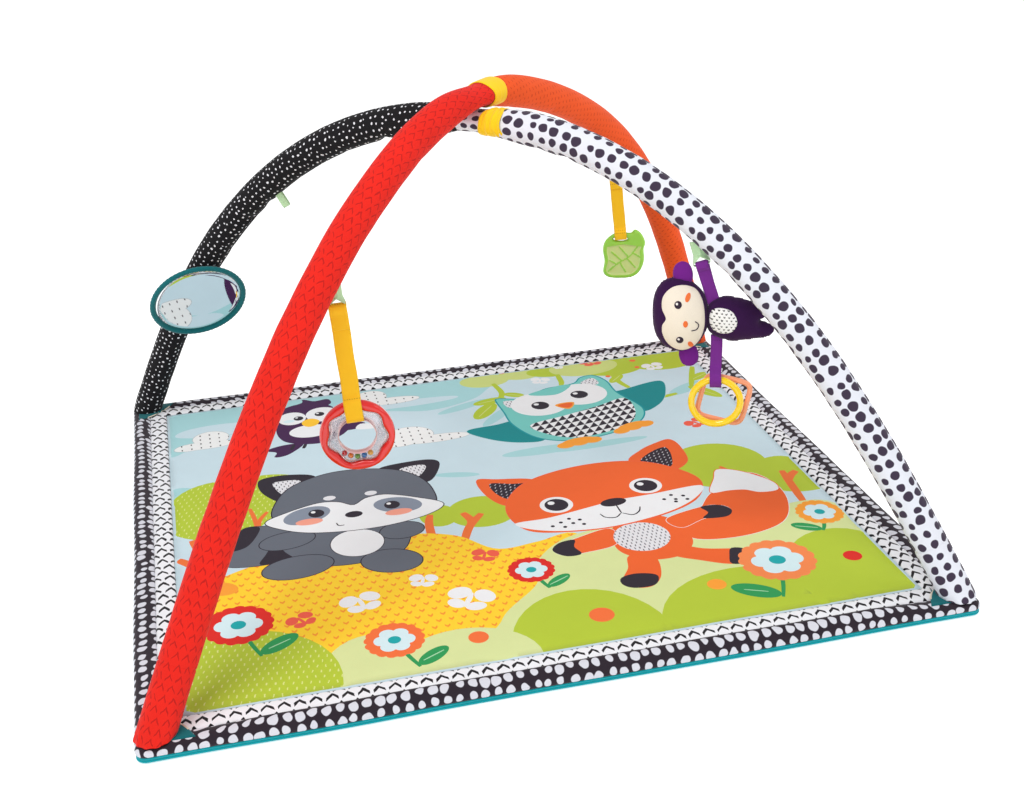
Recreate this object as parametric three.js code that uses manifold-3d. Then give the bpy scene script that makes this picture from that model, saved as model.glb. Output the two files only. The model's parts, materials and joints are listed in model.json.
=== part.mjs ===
// Activity play gym: a padded square mat under two crossing padded arches with hanging toys.
// Millimetres, +Z up. The origin is on the floor under the middle of the mat, where the arches cross.

import * as THREE from 'three';
import { mergeVertices } from 'three/addons/utils/BufferGeometryUtils.js';
import Module from 'manifold-3d';

const wasm = await Module();
wasm.setup();

// Driving dimensions: the mat.
const MAT_HALF = { x: 450, y: 420 };
const PANEL_HALF = { x: 402, y: 372 };
const STRIP_WIDTH = 24;
const PIPING_WIDTH = 4;
const BACKING_THICKNESS = 2.5;
const PANEL_THICKNESS = 2.5;
const MAT_THICKNESS = 16;
const BORDER_TOP = 15;
const PIPING_TOP = 8.5;
const TAB_TOP = 18.3;
// Corner tabs, measured in from the mat's edges: where they start and end, and their cut inner corner.
const TAB = { inset: 6, span: 62, cut: 24 };
const GAP = 0.3;

// Driving dimensions: the arches. Each leg leaves the floor at a steep angle and levels out at the crossing.
const FOOT_INSET = 22;
const FOOT_Z = 18.6;
const SLEEVE_RADIUS = 19.5;
const BORE_RADIUS = 9;
const ROD_RADIUS = 5.5;
const ARCH_HEIGHT = 502.5;
const ARCH_OFFSET = 6.9;
const CROSSING_RISE = 12.9;
const CROSSING_REACH = 90;
const LEGS = {
  red: { sx: -1, sy: -1, bulge: 0.717, side: 1, colour: '#e8201f' },
  orange: { sx: 1, sy: 1, bulge: 1.225, side: 1, colour: '#f2672b' },
  black: { sx: -1, sy: 1, bulge: 1.1, side: -1, colour: '#16131a' },
  white: { sx: 1, sy: -1, bulge: 0.957, side: -1, colour: '#f4f4f6' },
};
const WRAP_WIDTH = 32;
const WRAP_WALL = 1.6;
const WRAP_SLACK = 1.4;
const PARTING = 0.5;

// Driving dimensions: what hangs from the arches, each from a ribbon loop under its leg.
const LOOP = { width: 25, depth: 5, wall: 1.6 };
const HANGERS = {
  red: { reach: 267, drop: 29, yaw: -6.2 },
  orange: { reach: 327, drop: 26, yaw: -18 },
  white: { reach: 280, drop: 19, yaw: -22 },
  black: { reach: 297, drop: 18, yaw: -20 },
};
const RATTLE = { drop: 148, lean: 3.6, outer: 41, shell: 31.2, hole: 19.5, thickness: 12, web: 19 };
const BEAD = { radius: 3.4, circle: 25.8, step: 16.5, turn: -4 };
const BEAD_COLOURS = {
  red: '#d8262a', orange: '#f58a23', green: '#6aa83c', blue: '#1e7fd0', yellow: '#f4c544',
};
const LEAF = { drop: 114, lean: 4.7, thickness: 9, web: 16.5, slotFromMiddle: -5 };
const MONKEY = { shoulder: [13, -42], head: [-23, 0, -58], body: [37, 0, -61], webs: [14, 13] };
const RING = { x: 18.7, z: -162, radius: 27.5, tube: 4 };
const LINK = { half: 26.3, rod: 3.2, corner: 8, turn: -13, aside: 9 };
const MIRROR = {
  reach: 463, radius: 65.5, rim: 7.5, depth: 9, band: 12, facing: [0.138, -0.867, -0.48],
};

const gym = new THREE.Group();
const degrees = THREE.MathUtils.degToRad;

function finish(colour, roughness = 0.9, metalness = 0) {
  return new THREE.MeshStandardMaterial({ color: colour, roughness, metalness });
}

function addPiece(parent, name, geometry, material) {
  const mesh = new THREE.Mesh(geometry, material);
  mesh.name = name;
  parent.add(mesh);
  return mesh;
}

// Closed geometry to solid and back.
function toSolid(geometry) {
  const bare = geometry.clone();
  bare.deleteAttribute('normal');
  bare.deleteAttribute('uv');
  const merged = mergeVertices(bare, 1e-3);
  return new wasm.Manifold(new wasm.Mesh({
    numProp: 3,
    vertProperties: merged.attributes.position.array,
    triVerts: new Uint32Array(merged.index.array),
  }));
}

function toGeometry(solid) {
  const mesh = solid.getMesh();
  const geometry = new THREE.BufferGeometry();
  geometry.setAttribute('position', new THREE.BufferAttribute(mesh.vertProperties, 3));
  geometry.setIndex(new THREE.BufferAttribute(mesh.triVerts, 1));
  geometry.computeVertexNormals();
  return geometry;
}

function box(low, high) {
  const size = high.map((value, axis) => value - low[axis]);
  const middle = high.map((value, axis) => (value + low[axis]) / 2);
  return new THREE.BoxGeometry(...size).translate(...middle);
}

function ellipsoid(centre, radii, across = 18, down = 12) {
  return new THREE.SphereGeometry(1, across, down).scale(...radii).translate(...centre);
}

function circle(radius, sides) {
  const points = [];
  for (let i = 0; i < sides; i += 1) {
    const angle = (2 * Math.PI * i) / sides;
    points.push(new THREE.Vector2(radius * Math.cos(angle), radius * Math.sin(angle)));
  }
  return points;
}

function plate(points, low, high) {
  const shape = new THREE.Shape(points.map(([x, y]) => new THREE.Vector2(x, y)));
  return new THREE.ExtrudeGeometry(shape, { depth: high - low, bevelEnabled: false }).translate(0, 0, low);
}

// A section carried along a curve, hollow where inner is given.
function tube(curve, outer, inner, steps, sides = 12, innerSides = 8) {
  const shape = new THREE.Shape(circle(outer, sides));
  if (inner > 0) {
    shape.holes.push(new THREE.Path(circle(inner, innerSides)));
  }
  return new THREE.ExtrudeGeometry(shape, { steps, extrudePath: curve, bevelEnabled: false });
}

// Mat: teal backing, sealed wadding, printed panel, chevron strips, dotted borders and a rolled edge.
function mitredSide(side, outer, inner) {
  const mitre = 1.5 * GAP;
  if (side === 'front' || side === 'back') {
    const sign = side === 'front' ? -1 : 1;
    return [
      [-outer.x + mitre, sign * outer.y], [outer.x - mitre, sign * outer.y],
      [inner.x - mitre, sign * inner.y], [-inner.x + mitre, sign * inner.y],
    ];
  }
  const sign = side === 'left' ? -1 : 1;
  return [
    [sign * outer.x, -outer.y], [sign * outer.x, outer.y],
    [sign * inner.x, inner.y], [sign * inner.x, -inner.y],
  ];
}

function inset(half, amount) {
  return { x: half.x - amount, y: half.y - amount };
}

function rectangle(half) {
  return [[-half.x, -half.y], [half.x, -half.y], [half.x, half.y], [-half.x, half.y]];
}

function makeMat() {
  const layer = BACKING_THICKNESS + GAP;
  const panelBottom = MAT_THICKNESS - PANEL_THICKNESS;
  const teal = finish('#12a9b4');
  addPiece(gym, 'mat_backing', plate(rectangle(MAT_HALF), 0, BACKING_THICKNESS), teal);
  const filling = plate(rectangle(inset(PANEL_HALF, 1)), layer, panelBottom - GAP);
  addPiece(gym, 'mat_filling', filling, finish('#f0f0ee'));
  addPiece(gym, 'mat_panel', plate(rectangle(PANEL_HALF), panelBottom, MAT_THICKNESS), finish('#d4e2e4'));
  const stripInner = inset(PANEL_HALF, -GAP);
  const stripOuter = inset(PANEL_HALF, -STRIP_WIDTH + GAP);
  const borderInner = inset(PANEL_HALF, -STRIP_WIDTH);
  const borderOuter = inset(MAT_HALF, PIPING_WIDTH + GAP);
  for (const side of ['front', 'back', 'left', 'right']) {
    const strip = plate(mitredSide(side, stripOuter, stripInner), layer, MAT_THICKNESS);
    addPiece(gym, `chevron_strip_${side}`, strip, finish('#f2f2f4'));
    const border = plate(mitredSide(side, borderOuter, borderInner), layer, BORDER_TOP);
    addPiece(gym, `dotted_border_${side}`, border, finish('#2c2230'));
  }
  const edge = toSolid(plate(rectangle(MAT_HALF), layer, PIPING_TOP));
  const core = toSolid(plate(rectangle(inset(MAT_HALF, PIPING_WIDTH)), 0, MAT_THICKNESS));
  addPiece(gym, 'rolled_edge', toGeometry(edge.subtract(core)), teal);
  for (const [colour, leg] of Object.entries(LEGS)) {
    const { inset: edge, span, cut } = TAB;
    const corners = [[edge, edge], [span, edge], [span, edge + cut], [edge + cut, span], [edge, span]];
    const placed = corners.map(([x, y]) => [leg.sx * (MAT_HALF.x - x), leg.sy * (MAT_HALF.y - y)]);
    const padded = plate(placed, MAT_THICKNESS + GAP, TAB_TOP);
    addPiece(gym, `${colour}_corner_tab`, padded, finish('#0f7480'));
  }
}

// A leg's centre line: the slope falls from its value at the foot to level at the crossing, as a cosine.
const SAMPLES = 400;

class LegCurve extends THREE.Curve {
  constructor(leg, from = 0, to = 1) {
    super();
    this.from = from;
    this.to = to;
    this.reach = Math.hypot(MAT_HALF.x - FOOT_INSET, MAT_HALF.y - FOOT_INSET);
    const foot = [leg.sx * (MAT_HALF.x - FOOT_INSET), leg.sy * (MAT_HALF.y - FOOT_INSET)];
    this.direction = foot.map((value) => value / this.reach);
    this.rise = leg.side * CROSSING_RISE;
    this.height = ARCH_HEIGHT + leg.side * ARCH_OFFSET - FOOT_Z;
    this.across = [0];
    this.up = [0];
    for (let i = 0; i < SAMPLES; i += 1) {
      const slope = leg.bulge * Math.cos((Math.PI / 2) * ((i + 0.5) / SAMPLES));
      this.across.push(this.across[i] + Math.cos(slope));
      this.up.push(this.up[i] + Math.sin(slope));
    }
  }

  // Distance from the middle of the gym, and height, at a share of the way from foot to crossing.
  profile(share) {
    const place = Math.max(0, Math.min(SAMPLES - 1e-6, share * SAMPLES));
    const i = Math.floor(place);
    const over = share * SAMPLES - i;
    const across = this.across[i] + over * (this.across[i + 1] - this.across[i]);
    const up = this.up[i] + over * (this.up[i + 1] - this.up[i]);
    const radius = this.reach * (1 - across / this.across[SAMPLES]);
    const bump = this.rise * Math.exp(-0.5 * (radius / CROSSING_REACH) ** 2);
    return [radius, FOOT_Z + (this.height * up) / this.up[SAMPLES] + bump];
  }

  shareAt(radius) {
    let low = 0;
    let high = 1;
    for (let i = 0; i < 40; i += 1) {
      const middle = (low + high) / 2;
      if (this.profile(middle)[0] > radius) {
        low = middle;
      } else {
        high = middle;
      }
    }
    return low;
  }

  getPoint(t, target = new THREE.Vector3()) {
    const [radius, height] = this.profile(this.from + (this.to - this.from) * t);
    return target.set(radius * this.direction[0], radius * this.direction[1], height);
  }
}

// Shares of a leg's length: its end at the crossing, its rod's start, and how far it runs on under the floor line.
const APEX_SHARE = 0.9997;
const ROD_START = 0.03;
const FOOT_OVERRUN = -0.06;
const FERRULE = { shares: [0.96, 0.98, 1], inner: ROD_RADIUS + 1.2, outer: ROD_RADIUS + 2.2 };
const legCurves = {};
const belowFeet = toSolid(box([-700, -700, -200], [700, 700, FOOT_Z]));

function makeLeg(colour, leg) {
  legCurves[colour] = new LegCurve(leg);
  const whole = new LegCurve(leg, FOOT_OVERRUN, APEX_SHARE);
  const sleeve = toSolid(tube(whole, SLEEVE_RADIUS, BORE_RADIUS, 22));
  addPiece(gym, `${colour}_sleeve`, toGeometry(sleeve.subtract(belowFeet)), finish(leg.colour));
  const rod = tube(new LegCurve(leg, ROD_START, APEX_SHARE), ROD_RADIUS, 0, 20, 8);
  addPiece(gym, `${colour}_rod`, rod, finish('#e9e6dc', 0.4));
  const plugEnd = new LegCurve(leg, FOOT_OVERRUN, ROD_START - 0.002);
  const plug = toSolid(tube(plugEnd, BORE_RADIUS - 3 * GAP, 0, 2, 8));
  addPiece(gym, `${colour}_foot_cap`, toGeometry(plug.subtract(belowFeet)), finish('#2a2a2e', 0.5));
}

function makeFerrule(name, first, second) {
  const points = FERRULE.shares.map((share) => legCurves[first].getPoint(share));
  const back = FERRULE.shares.slice(0, -1).reverse();
  points.push(...back.map((share) => legCurves[second].getPoint(share)));
  const sleeve = tube(new THREE.CatmullRomCurve3(points), FERRULE.outer, FERRULE.inner, 8, 10, 10);
  addPiece(gym, name, sleeve, finish('#d7d7d2', 0.35));
}

// The yellow band at the crossing: the upper half hugs the upper arch, the lower half the lower arch.
function makeWraps() {
  const halfWidth = WRAP_WIDTH / 2;
  const halves = { upper_wrap: ['red', 1], lower_wrap: ['black', -1] };
  for (const [name, [colour, side]] of Object.entries(halves)) {
    const [dx, dy] = legCurves[colour].direction;
    const height = ARCH_HEIGHT + side * (ARCH_OFFSET + CROSSING_RISE);
    const along = new THREE.LineCurve3(
      new THREE.Vector3(-halfWidth * dx, -halfWidth * dy, height),
      new THREE.Vector3(halfWidth * dx, halfWidth * dy, height),
    );
    const inner = SLEEVE_RADIUS + WRAP_SLACK;
    const band = toSolid(tube(along, inner + WRAP_WALL, inner, 1, 20, 20));
    const far = 4 * SLEEVE_RADIUS;
    const near = ARCH_HEIGHT + side * PARTING;
    const ends = [near, near + side * far].sort((a, b) => a - b);
    const keep = toSolid(box([-far, -far, ends[0]], [far, far, ends[1]]));
    addPiece(gym, name, toGeometry(band.intersect(keep)), finish('#ffd21e'));
  }
}

// A hanger's pivot: straight below the leg, as far under its skin as the loop is long.
function pivotOf(colour) {
  const curve = legCurves[colour];
  const hanger = HANGERS[colour];
  const share = curve.shareAt(hanger.reach);
  const [radius, height] = curve.profile(share);
  const [nearRadius, nearHeight] = curve.profile(share + 0.01);
  const slope = Math.atan2(nearHeight - height, radius - nearRadius);
  const skin = SLEEVE_RADIUS / Math.cos(slope);
  const [dx, dy] = curve.direction;
  return new THREE.Vector3(radius * dx, radius * dy, height - skin - hanger.drop);
}

function hangerGroup(colour) {
  const group = new THREE.Group();
  group.position.copy(pivotOf(colour));
  group.rotation.z = degrees(HANGERS[colour].yaw);
  gym.add(group);
  group.updateMatrixWorld(true);
  return group;
}

function makeLoop(colour, group, lean = 0) {
  const { width, depth, wall } = LOOP;
  const half = width / 2;
  const reach = HANGERS[colour].drop + SLEEVE_RADIUS + 4;
  const outer = toSolid(box([-half, -depth / 2, -wall / 2], [half, depth / 2, reach]));
  const inner = toSolid(box([-half + wall, -depth, wall / 2], [half - wall, depth, reach + 1]));
  const ribbon = toGeometry(outer.subtract(inner)).rotateY(-lean).applyMatrix4(group.matrixWorld);
  const upperLeg = new LegCurve(LEGS[colour], 0.2, APEX_SHARE);
  const skin = toSolid(tube(upperLeg, SLEEVE_RADIUS + 0.4, 0, 30, 24));
  addPiece(gym, `${colour}_loop`, toGeometry(toSolid(ribbon).subtract(skin)), finish('#b9e6b4'));
}

// Webbing folded over the loop and sewn back on itself round what it carries: an eye at each end.
const EYE = { outer: 4.8, inner: 3.4 };
const WEB = 2.8;
const EYE_WALL = 1.3;
const EYE_CORNER = 3;

// The four rounded corners of an upright rectangle, anticlockwise from its upper left.
function roundedCorners(path, height, [halfX, halfZ], radius) {
  [[-1, 1], [-1, -1], [1, -1], [1, 1]].forEach(([x, z], i) => {
    const start = (Math.PI / 2) * (i + 1);
    const middle = [x * (halfX - radius), height + z * (halfZ - radius)];
    path.absarc(...middle, radius, start, start + Math.PI / 2, false);
  });
}

function webbing(width, length, low) {
  const shape = new THREE.Shape();
  const topAngle = Math.asin(WEB / 2 / EYE.outer);
  shape.absarc(0, 0, EYE.outer, -Math.PI / 2 + topAngle, (3 * Math.PI) / 2 - topAngle, false);
  if (low) {
    shape.lineTo(-WEB / 2, -length + low[1]);
    roundedCorners(shape, -length, low, EYE_CORNER);
    shape.lineTo(WEB / 2, -length + low[1]);
    const hole = new THREE.Path();
    roundedCorners(hole, -length, low.map((half) => half - EYE_WALL), EYE_CORNER - EYE_WALL);
    shape.holes.push(hole);
  } else {
    shape.lineTo(-WEB / 2, -length);
    shape.lineTo(WEB / 2, -length);
  }
  shape.holes.push(new THREE.Path().absarc(0, 0, EYE.inner, 0, 2 * Math.PI, false));
  const profile = new THREE.ExtrudeGeometry(shape, { depth: width, bevelEnabled: false, curveSegments: 4 });
  const turn = new THREE.Matrix4().makeBasis(
    new THREE.Vector3(0, 1, 0), new THREE.Vector3(0, 0, 1), new THREE.Vector3(1, 0, 0),
  );
  return profile.applyMatrix4(turn).translate(-width / 2, 0, 0);
}

// A ring lying in the plane that faces the front, from a closed section of distance and depth.
function turnedRing(section, centre, around = 32) {
  const profile = section.map(([radius, depth]) => new THREE.Vector2(radius, depth));
  profile.push(profile[0].clone());
  return new THREE.LatheGeometry(profile, around).translate(...centre);
}

function makeRattle() {
  const group = hangerGroup('red');
  const lean = degrees(RATTLE.lean);
  makeLoop('red', group, lean);
  const centre = [RATTLE.drop * Math.sin(lean), 0, -RATTLE.drop * Math.cos(lean)];
  const half = RATTLE.thickness / 2;
  const middle = (RATTLE.outer + RATTLE.hole) / 2 - 1.2;
  const eye = [half + 2.2, (RATTLE.outer - RATTLE.hole) / 2 + 4];
  const strap = webbing(RATTLE.web, RATTLE.drop - middle, eye).rotateY(-lean);
  addPiece(group, 'rattle_strap', strap, finish('#ffc915'));
  const { outer, hole, shell: inside } = RATTLE;
  const chamfer = 3;
  const flat = half - chamfer - 0.5;
  const hoop = [
    [inside, -half], [outer - chamfer, -half], [outer, -flat],
    [outer, flat], [outer - chamfer, half], [inside, half],
  ];
  addPiece(group, 'rattle_ring', turnedRing(hoop, centre), finish('#ee2a24', 0.35));
  const wall = 1.2;
  const side = half - 0.8;
  const rim = inside - GAP;
  const channel = [
    [hole, -side], [rim, -side], [rim, -side + wall], [hole + wall, -side + wall],
    [hole + wall, side - wall], [rim, side - wall], [rim, side], [hole, side],
  ];
  addPiece(group, 'rattle_clear_ring', turnedRing(channel, centre), finish('#e9f1f4', 0.1));
  Object.entries(BEAD_COLOURS).forEach(([name, colour], i) => {
    const angle = degrees(BEAD.step * (i - 2) + BEAD.turn);
    const across = BEAD.circle * Math.sin(angle);
    const down = BEAD.circle * Math.cos(angle);
    const ball = new THREE.SphereGeometry(BEAD.radius, 10, 7);
    ball.translate(centre[0] + across, 0, centre[2] - down);
    addPiece(group, `bead_${name}`, ball, finish(colour, 0.25));
  });
}

// Leaf outline, widths and heights from its middle, with the bud at the upper right.
const LEAF_OUTLINE = [
  [-12, 31], [-25, 21], [-29.5, 8], [-27.5, -10], [-29.2, -26], [-22, -33.5], [-7, -35], [11, -33.5],
  [22.5, -24.5], [28, -9], [27.4, 7], [29.5, 17], [24, 29.5], [15.5, 35.5], [9.5, 31], [0, 31.5],
];
const LEAF_TOP = 31.5;
const LEAF_SLOT = { low: 19.5, high: 25, half: 10 };

function makeLeaf() {
  const group = hangerGroup('orange');
  const lean = degrees(LEAF.lean);
  makeLoop('orange', group, lean);
  const slotMiddle = (LEAF_SLOT.high + LEAF_TOP) / 2;
  const length = LEAF.drop - slotMiddle;
  const eye = [LEAF.thickness / 2 + 2, (LEAF_TOP - LEAF_SLOT.high) / 2 + 2.9];
  addPiece(group, 'leaf_strap', webbing(LEAF.web, length, eye).rotateY(-lean), finish('#ffc915'));
  const corners = LEAF_OUTLINE.map(([x, z]) => new THREE.Vector3(x, z, 0));
  const outline = new THREE.CatmullRomCurve3(corners, true).getPoints(40).slice(0, -1);
  const shape = new THREE.Shape(outline.map((point) => new THREE.Vector2(point.x, point.y)));
  const { low, high, half } = LEAF_SLOT;
  const slot = [[-half, low], [half, low], [half, high], [-half, high]];
  shape.holes.push(new THREE.Path(slot.map(([x, z]) => new THREE.Vector2(x + LEAF.slotFromMiddle, z))));
  const body = new THREE.ExtrudeGeometry(shape, { depth: LEAF.thickness, bevelEnabled: false });
  const hang = [length * Math.sin(lean) - LEAF.slotFromMiddle, -length * Math.cos(lean) - slotMiddle];
  body.rotateX(Math.PI / 2).translate(hang[0], LEAF.thickness / 2, hang[1]);
  addPiece(group, 'leaf_teether', body, finish('#9bd44c', 0.45));
}

// The plush monkey lies across its webbing with its head to the left, and carries a ring and a link.
const HEAD_RADII = [31, 21, 43];
const BODY_RADII = [31, 18, 26];
const LEG_RADII = [17, 10, 9];
const EAR_RADII = [11, 4, 14];

function shell(centre, radii, outline) {
  const outer = toSolid(ellipsoid(centre, radii.map((r) => r + 1.3), 24, 16));
  const inner = toSolid(ellipsoid(centre, radii.map((r) => r + 0.5), 24, 16));
  return toGeometry(outer.subtract(inner).intersect(toSolid(outline)));
}

function frontOutline(x, z, halfX, halfZ) {
  const points = circle(1, 20).map((point) => new THREE.Vector2(point.x * halfX, point.y * halfZ));
  const shape = new THREE.Shape(points);
  const prism = new THREE.ExtrudeGeometry(shape, { depth: 40, bevelEnabled: false });
  return prism.rotateX(Math.PI / 2).translate(x, 0, z);
}

function makeMonkey() {
  const group = hangerGroup('white');
  const lean = Math.atan2(MONKEY.shoulder[0], -MONKEY.shoulder[1]);
  makeLoop('white', group, lean);
  const plush = finish('#3d1850');
  const bright = finish('#7a1f87');
  const [hx, , hz] = MONKEY.head;
  const [bx, , bz] = MONKEY.body;
  const bodyRound = toSolid(ellipsoid(MONKEY.body, BODY_RADII));
  const upperLeg = toSolid(ellipsoid([bx + 22, 0, bz + 11], LEG_RADII, 12, 8));
  const lowerLeg = toSolid(ellipsoid([bx + 24, 0, bz - 13], LEG_RADII, 12, 8));
  const headRoom = toSolid(ellipsoid(MONKEY.head, HEAD_RADII.map((r) => r + 0.6)));
  const body = bodyRound.add(upperLeg).add(lowerLeg).subtract(headRoom);
  addPiece(group, 'monkey_body', toGeometry(body), plush);
  addPiece(group, 'monkey_head', ellipsoid(MONKEY.head, HEAD_RADII), plush);
  const earRoom = toSolid(ellipsoid(MONKEY.head, HEAD_RADII.map((r) => r + 0.4)));
  const ears = { upper_ear: [hx + 2, 46], lower_ear: [hx + 10, -48] };
  for (const [name, [x, rise]] of Object.entries(ears)) {
    const ear = toSolid(ellipsoid([x, 0, hz + rise], EAR_RADII, 14, 8));
    addPiece(group, `monkey_${name}`, toGeometry(ear.subtract(earRoom)), bright);
  }
  const face = shell(MONKEY.head, HEAD_RADII, frontOutline(hx + 3, hz - 1, 23, 35));
  addPiece(group, 'monkey_face', face, finish('#f3e7d2'));
  const belly = shell(MONKEY.body, BODY_RADII, frontOutline(bx - 9, bz, 15, 14));
  addPiece(group, 'monkey_belly_patch', belly, finish('#f6f6f4'));
  const bodyRoom = toSolid(ellipsoid(MONKEY.body, BODY_RADII.map((r) => r + 0.5)));
  const [upperWidth, lowerWidth] = MONKEY.webs;
  const upper = toSolid(webbing(upperWidth, 58, null).rotateY(-lean));
  const upperTrim = toGeometry(upper.subtract(bodyRoom).subtract(headRoom));
  const upperOnly = toSolid(upperTrim).intersect(toSolid(box([-60, -30, -60], [60, 30, 30])));
  addPiece(group, 'monkey_upper_strap', toGeometry(largest(upperOnly)), bright);
  const eye = [10.6, 8.2];
  const ringTop = RING.z + RING.radius;
  const lowerTop = bz - 6;
  const web = webbing(lowerWidth, lowerTop - ringTop, eye).translate(RING.x - 1, 0, lowerTop);
  const lower = toSolid(web);
  const noEye = toSolid(box([-60, -30, ringTop - 20], [60, 30, lowerTop - 12]));
  const lowerTrim = lower.intersect(noEye).subtract(bodyRoom).subtract(headRoom);
  addPiece(group, 'monkey_lower_strap', toGeometry(largest(lowerTrim)), bright);
  makeRings(group);
}

function largest(solid) {
  return solid.decompose().sort((a, b) => b.volume() - a.volume())[0];
}

function makeRings(group) {
  const { x, z } = RING;
  const front = -RING.tube - GAP;
  const torus = new THREE.TorusGeometry(RING.radius, RING.tube, 10, 30);
  addPiece(group, 'yellow_ring', torus.rotateX(Math.PI / 2).translate(x, front, z), finish('#ffd812', 0.35));
  const corners = [];
  const steps = 3;
  for (let quarter = 0; quarter < 4; quarter += 1) {
    for (let i = 0; i <= steps; i += 1) {
      const angle = (Math.PI / 2) * (quarter + i / steps);
      const cx = (quarter === 0 || quarter === 3 ? 1 : -1) * (LINK.half - LINK.corner);
      const cz = (quarter < 2 ? 1 : -1) * (LINK.half - LINK.corner);
      corners.push([cx + LINK.corner * Math.cos(angle), cz + LINK.corner * Math.sin(angle)]);
    }
  }
  const outline = (grow) => new THREE.Shape(corners.map(([cx, cz]) => {
    const scale = 1 + grow / Math.hypot(cx, cz);
    return new THREE.Vector2(cx * scale, cz * scale);
  }));
  const frame = outline(LINK.rod);
  frame.holes.push(new THREE.Path(outline(-LINK.rod).getPoints()));
  const link = new THREE.ExtrudeGeometry(frame, { depth: 2 * LINK.rod, bevelEnabled: false });
  link.rotateX(Math.PI / 2).translate(0, LINK.rod, 0).rotateY(-degrees(LINK.turn));
  const behind = LINK.rod + 0.5;
  addPiece(group, 'peach_link', link.translate(x + LINK.aside, behind, z), finish('#f9a97c', 0.4));
}

function makeMirror() {
  const curve = legCurves.black;
  const share = curve.shareAt(MIRROR.reach);
  const centre = new THREE.Vector3(...placeOn(curve, share));
  const tangent = new THREE.Vector3(...placeOn(curve, share + 0.01)).sub(centre).normalize();
  const facing = new THREE.Vector3(...MIRROR.facing);
  facing.addScaledVector(tangent, -facing.dot(tangent)).normalize();
  const side = new THREE.Vector3().crossVectors(tangent, facing);
  const group = new THREE.Group();
  const third = new THREE.Vector3().crossVectors(side, facing);
  group.applyMatrix4(new THREE.Matrix4().makeBasis(side, facing, third));
  group.position.copy(centre);
  gym.add(group);
  const { radius, rim, depth, band: halfBand } = MIRROR;
  const inner = SLEEVE_RADIUS + WRAP_SLACK;
  const outer = inner + 1.5;
  const band = [[inner, -halfBand], [outer, -halfBand], [outer, halfBand], [inner, halfBand]];
  const strap = turnedRing(band, [0, 0, 0], 20).rotateX(Math.PI / 2);
  addPiece(group, 'mirror_strap', strap, finish('#0e5f66'));
  const back = outer + 0.4;
  const front = back + depth;
  const pad = [
    [0, back], [radius - 3, back], [radius, back + 3], [radius, front - 2.5],
    [radius - 3, front], [radius - rim, front - 1], [radius - rim, back + 4.5], [0, back + 4.5],
  ];
  const lathe = (points) => (
    new THREE.LatheGeometry(points.map(([r, y]) => new THREE.Vector2(r, y)), 40)
  );
  addPiece(group, 'mirror_pad', lathe(pad), finish('#0f6d74'));
  const glass = radius - rim - 0.4;
  const disc = [[0, back + 4.8], [glass, back + 4.8], [glass, back + 6.6], [0, back + 6.6]];
  addPiece(group, 'mirror_disc', lathe(disc), finish('#cfd6d8', 0.05, 1));
}

function placeOn(curve, share) {
  const [radius, height] = curve.profile(share);
  return [radius * curve.direction[0], radius * curve.direction[1], height];
}

makeMat();
for (const [colour, leg] of Object.entries(LEGS)) {
  makeLeg(colour, leg);
}
makeFerrule('upper_ferrule', 'red', 'orange');
makeFerrule('lower_ferrule', 'black', 'white');
makeWraps();
makeRattle();
makeLeaf();
makeMonkey();
makeLoop('black', hangerGroup('black'));
makeMirror();

export default gym;
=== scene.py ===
"""Fabric, print, toys and stage of a padded activity play gym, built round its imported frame."""

import json
import math

import bmesh
import bpy
import numpy as np
from bpy.props import FloatProperty, PointerProperty, StringProperty
from mathutils import Matrix, Vector, geometry
from mathutils.bvhtree import BVHTree


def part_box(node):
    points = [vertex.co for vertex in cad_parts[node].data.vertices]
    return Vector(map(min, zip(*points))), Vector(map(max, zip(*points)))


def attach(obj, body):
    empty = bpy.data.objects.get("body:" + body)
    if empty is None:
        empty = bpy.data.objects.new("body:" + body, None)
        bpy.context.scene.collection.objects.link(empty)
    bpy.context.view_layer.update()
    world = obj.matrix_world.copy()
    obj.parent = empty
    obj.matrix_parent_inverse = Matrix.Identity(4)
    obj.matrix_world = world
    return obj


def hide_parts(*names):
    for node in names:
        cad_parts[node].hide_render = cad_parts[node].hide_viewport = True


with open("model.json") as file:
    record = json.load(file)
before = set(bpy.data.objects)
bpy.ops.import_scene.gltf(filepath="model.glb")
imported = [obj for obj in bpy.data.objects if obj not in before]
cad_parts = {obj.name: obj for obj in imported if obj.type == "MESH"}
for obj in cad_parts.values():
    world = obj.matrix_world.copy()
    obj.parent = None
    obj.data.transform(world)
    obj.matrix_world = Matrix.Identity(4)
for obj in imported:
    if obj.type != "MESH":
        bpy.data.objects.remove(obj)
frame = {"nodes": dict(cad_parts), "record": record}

bl_info = {
    "name": "Activity play gym",
    "version": (1, 0, 0),
    "blender": (4, 5, 0),
    "location": "View3D > Sidebar > Play gym",
    "description": "Padded mat, two crossing fabric arches and their hanging toys",
    "category": "Object",
}

MM = 0.001
TAU = 2 * math.pi
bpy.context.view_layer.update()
JOINTS = {joint["name"]: joint for joint in frame["record"]["behaviour"]["joints"]}
MAT_HALF = np.array(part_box("mat_backing")[1][:2])
PANEL_HALF = np.array(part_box("mat_panel")[1][:2])
PANEL_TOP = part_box("mat_panel")[1][2]
FOOT_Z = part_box("red_sleeve")[0][2]


def size(name, default, about):
    """A length that a user may change, in metres."""
    return FloatProperty(name=name, description=about, default=default, unit="LENGTH", precision=4)


def ratio(name, default, about):
    """A plain number that a user may change."""
    return FloatProperty(name=name, description=about, default=default, precision=3)


def ink(name, default, about="sRGB hex colour"):
    """A colour that a user may change, as sRGB hex."""
    return StringProperty(name=name, description=about, default=default)


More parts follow.
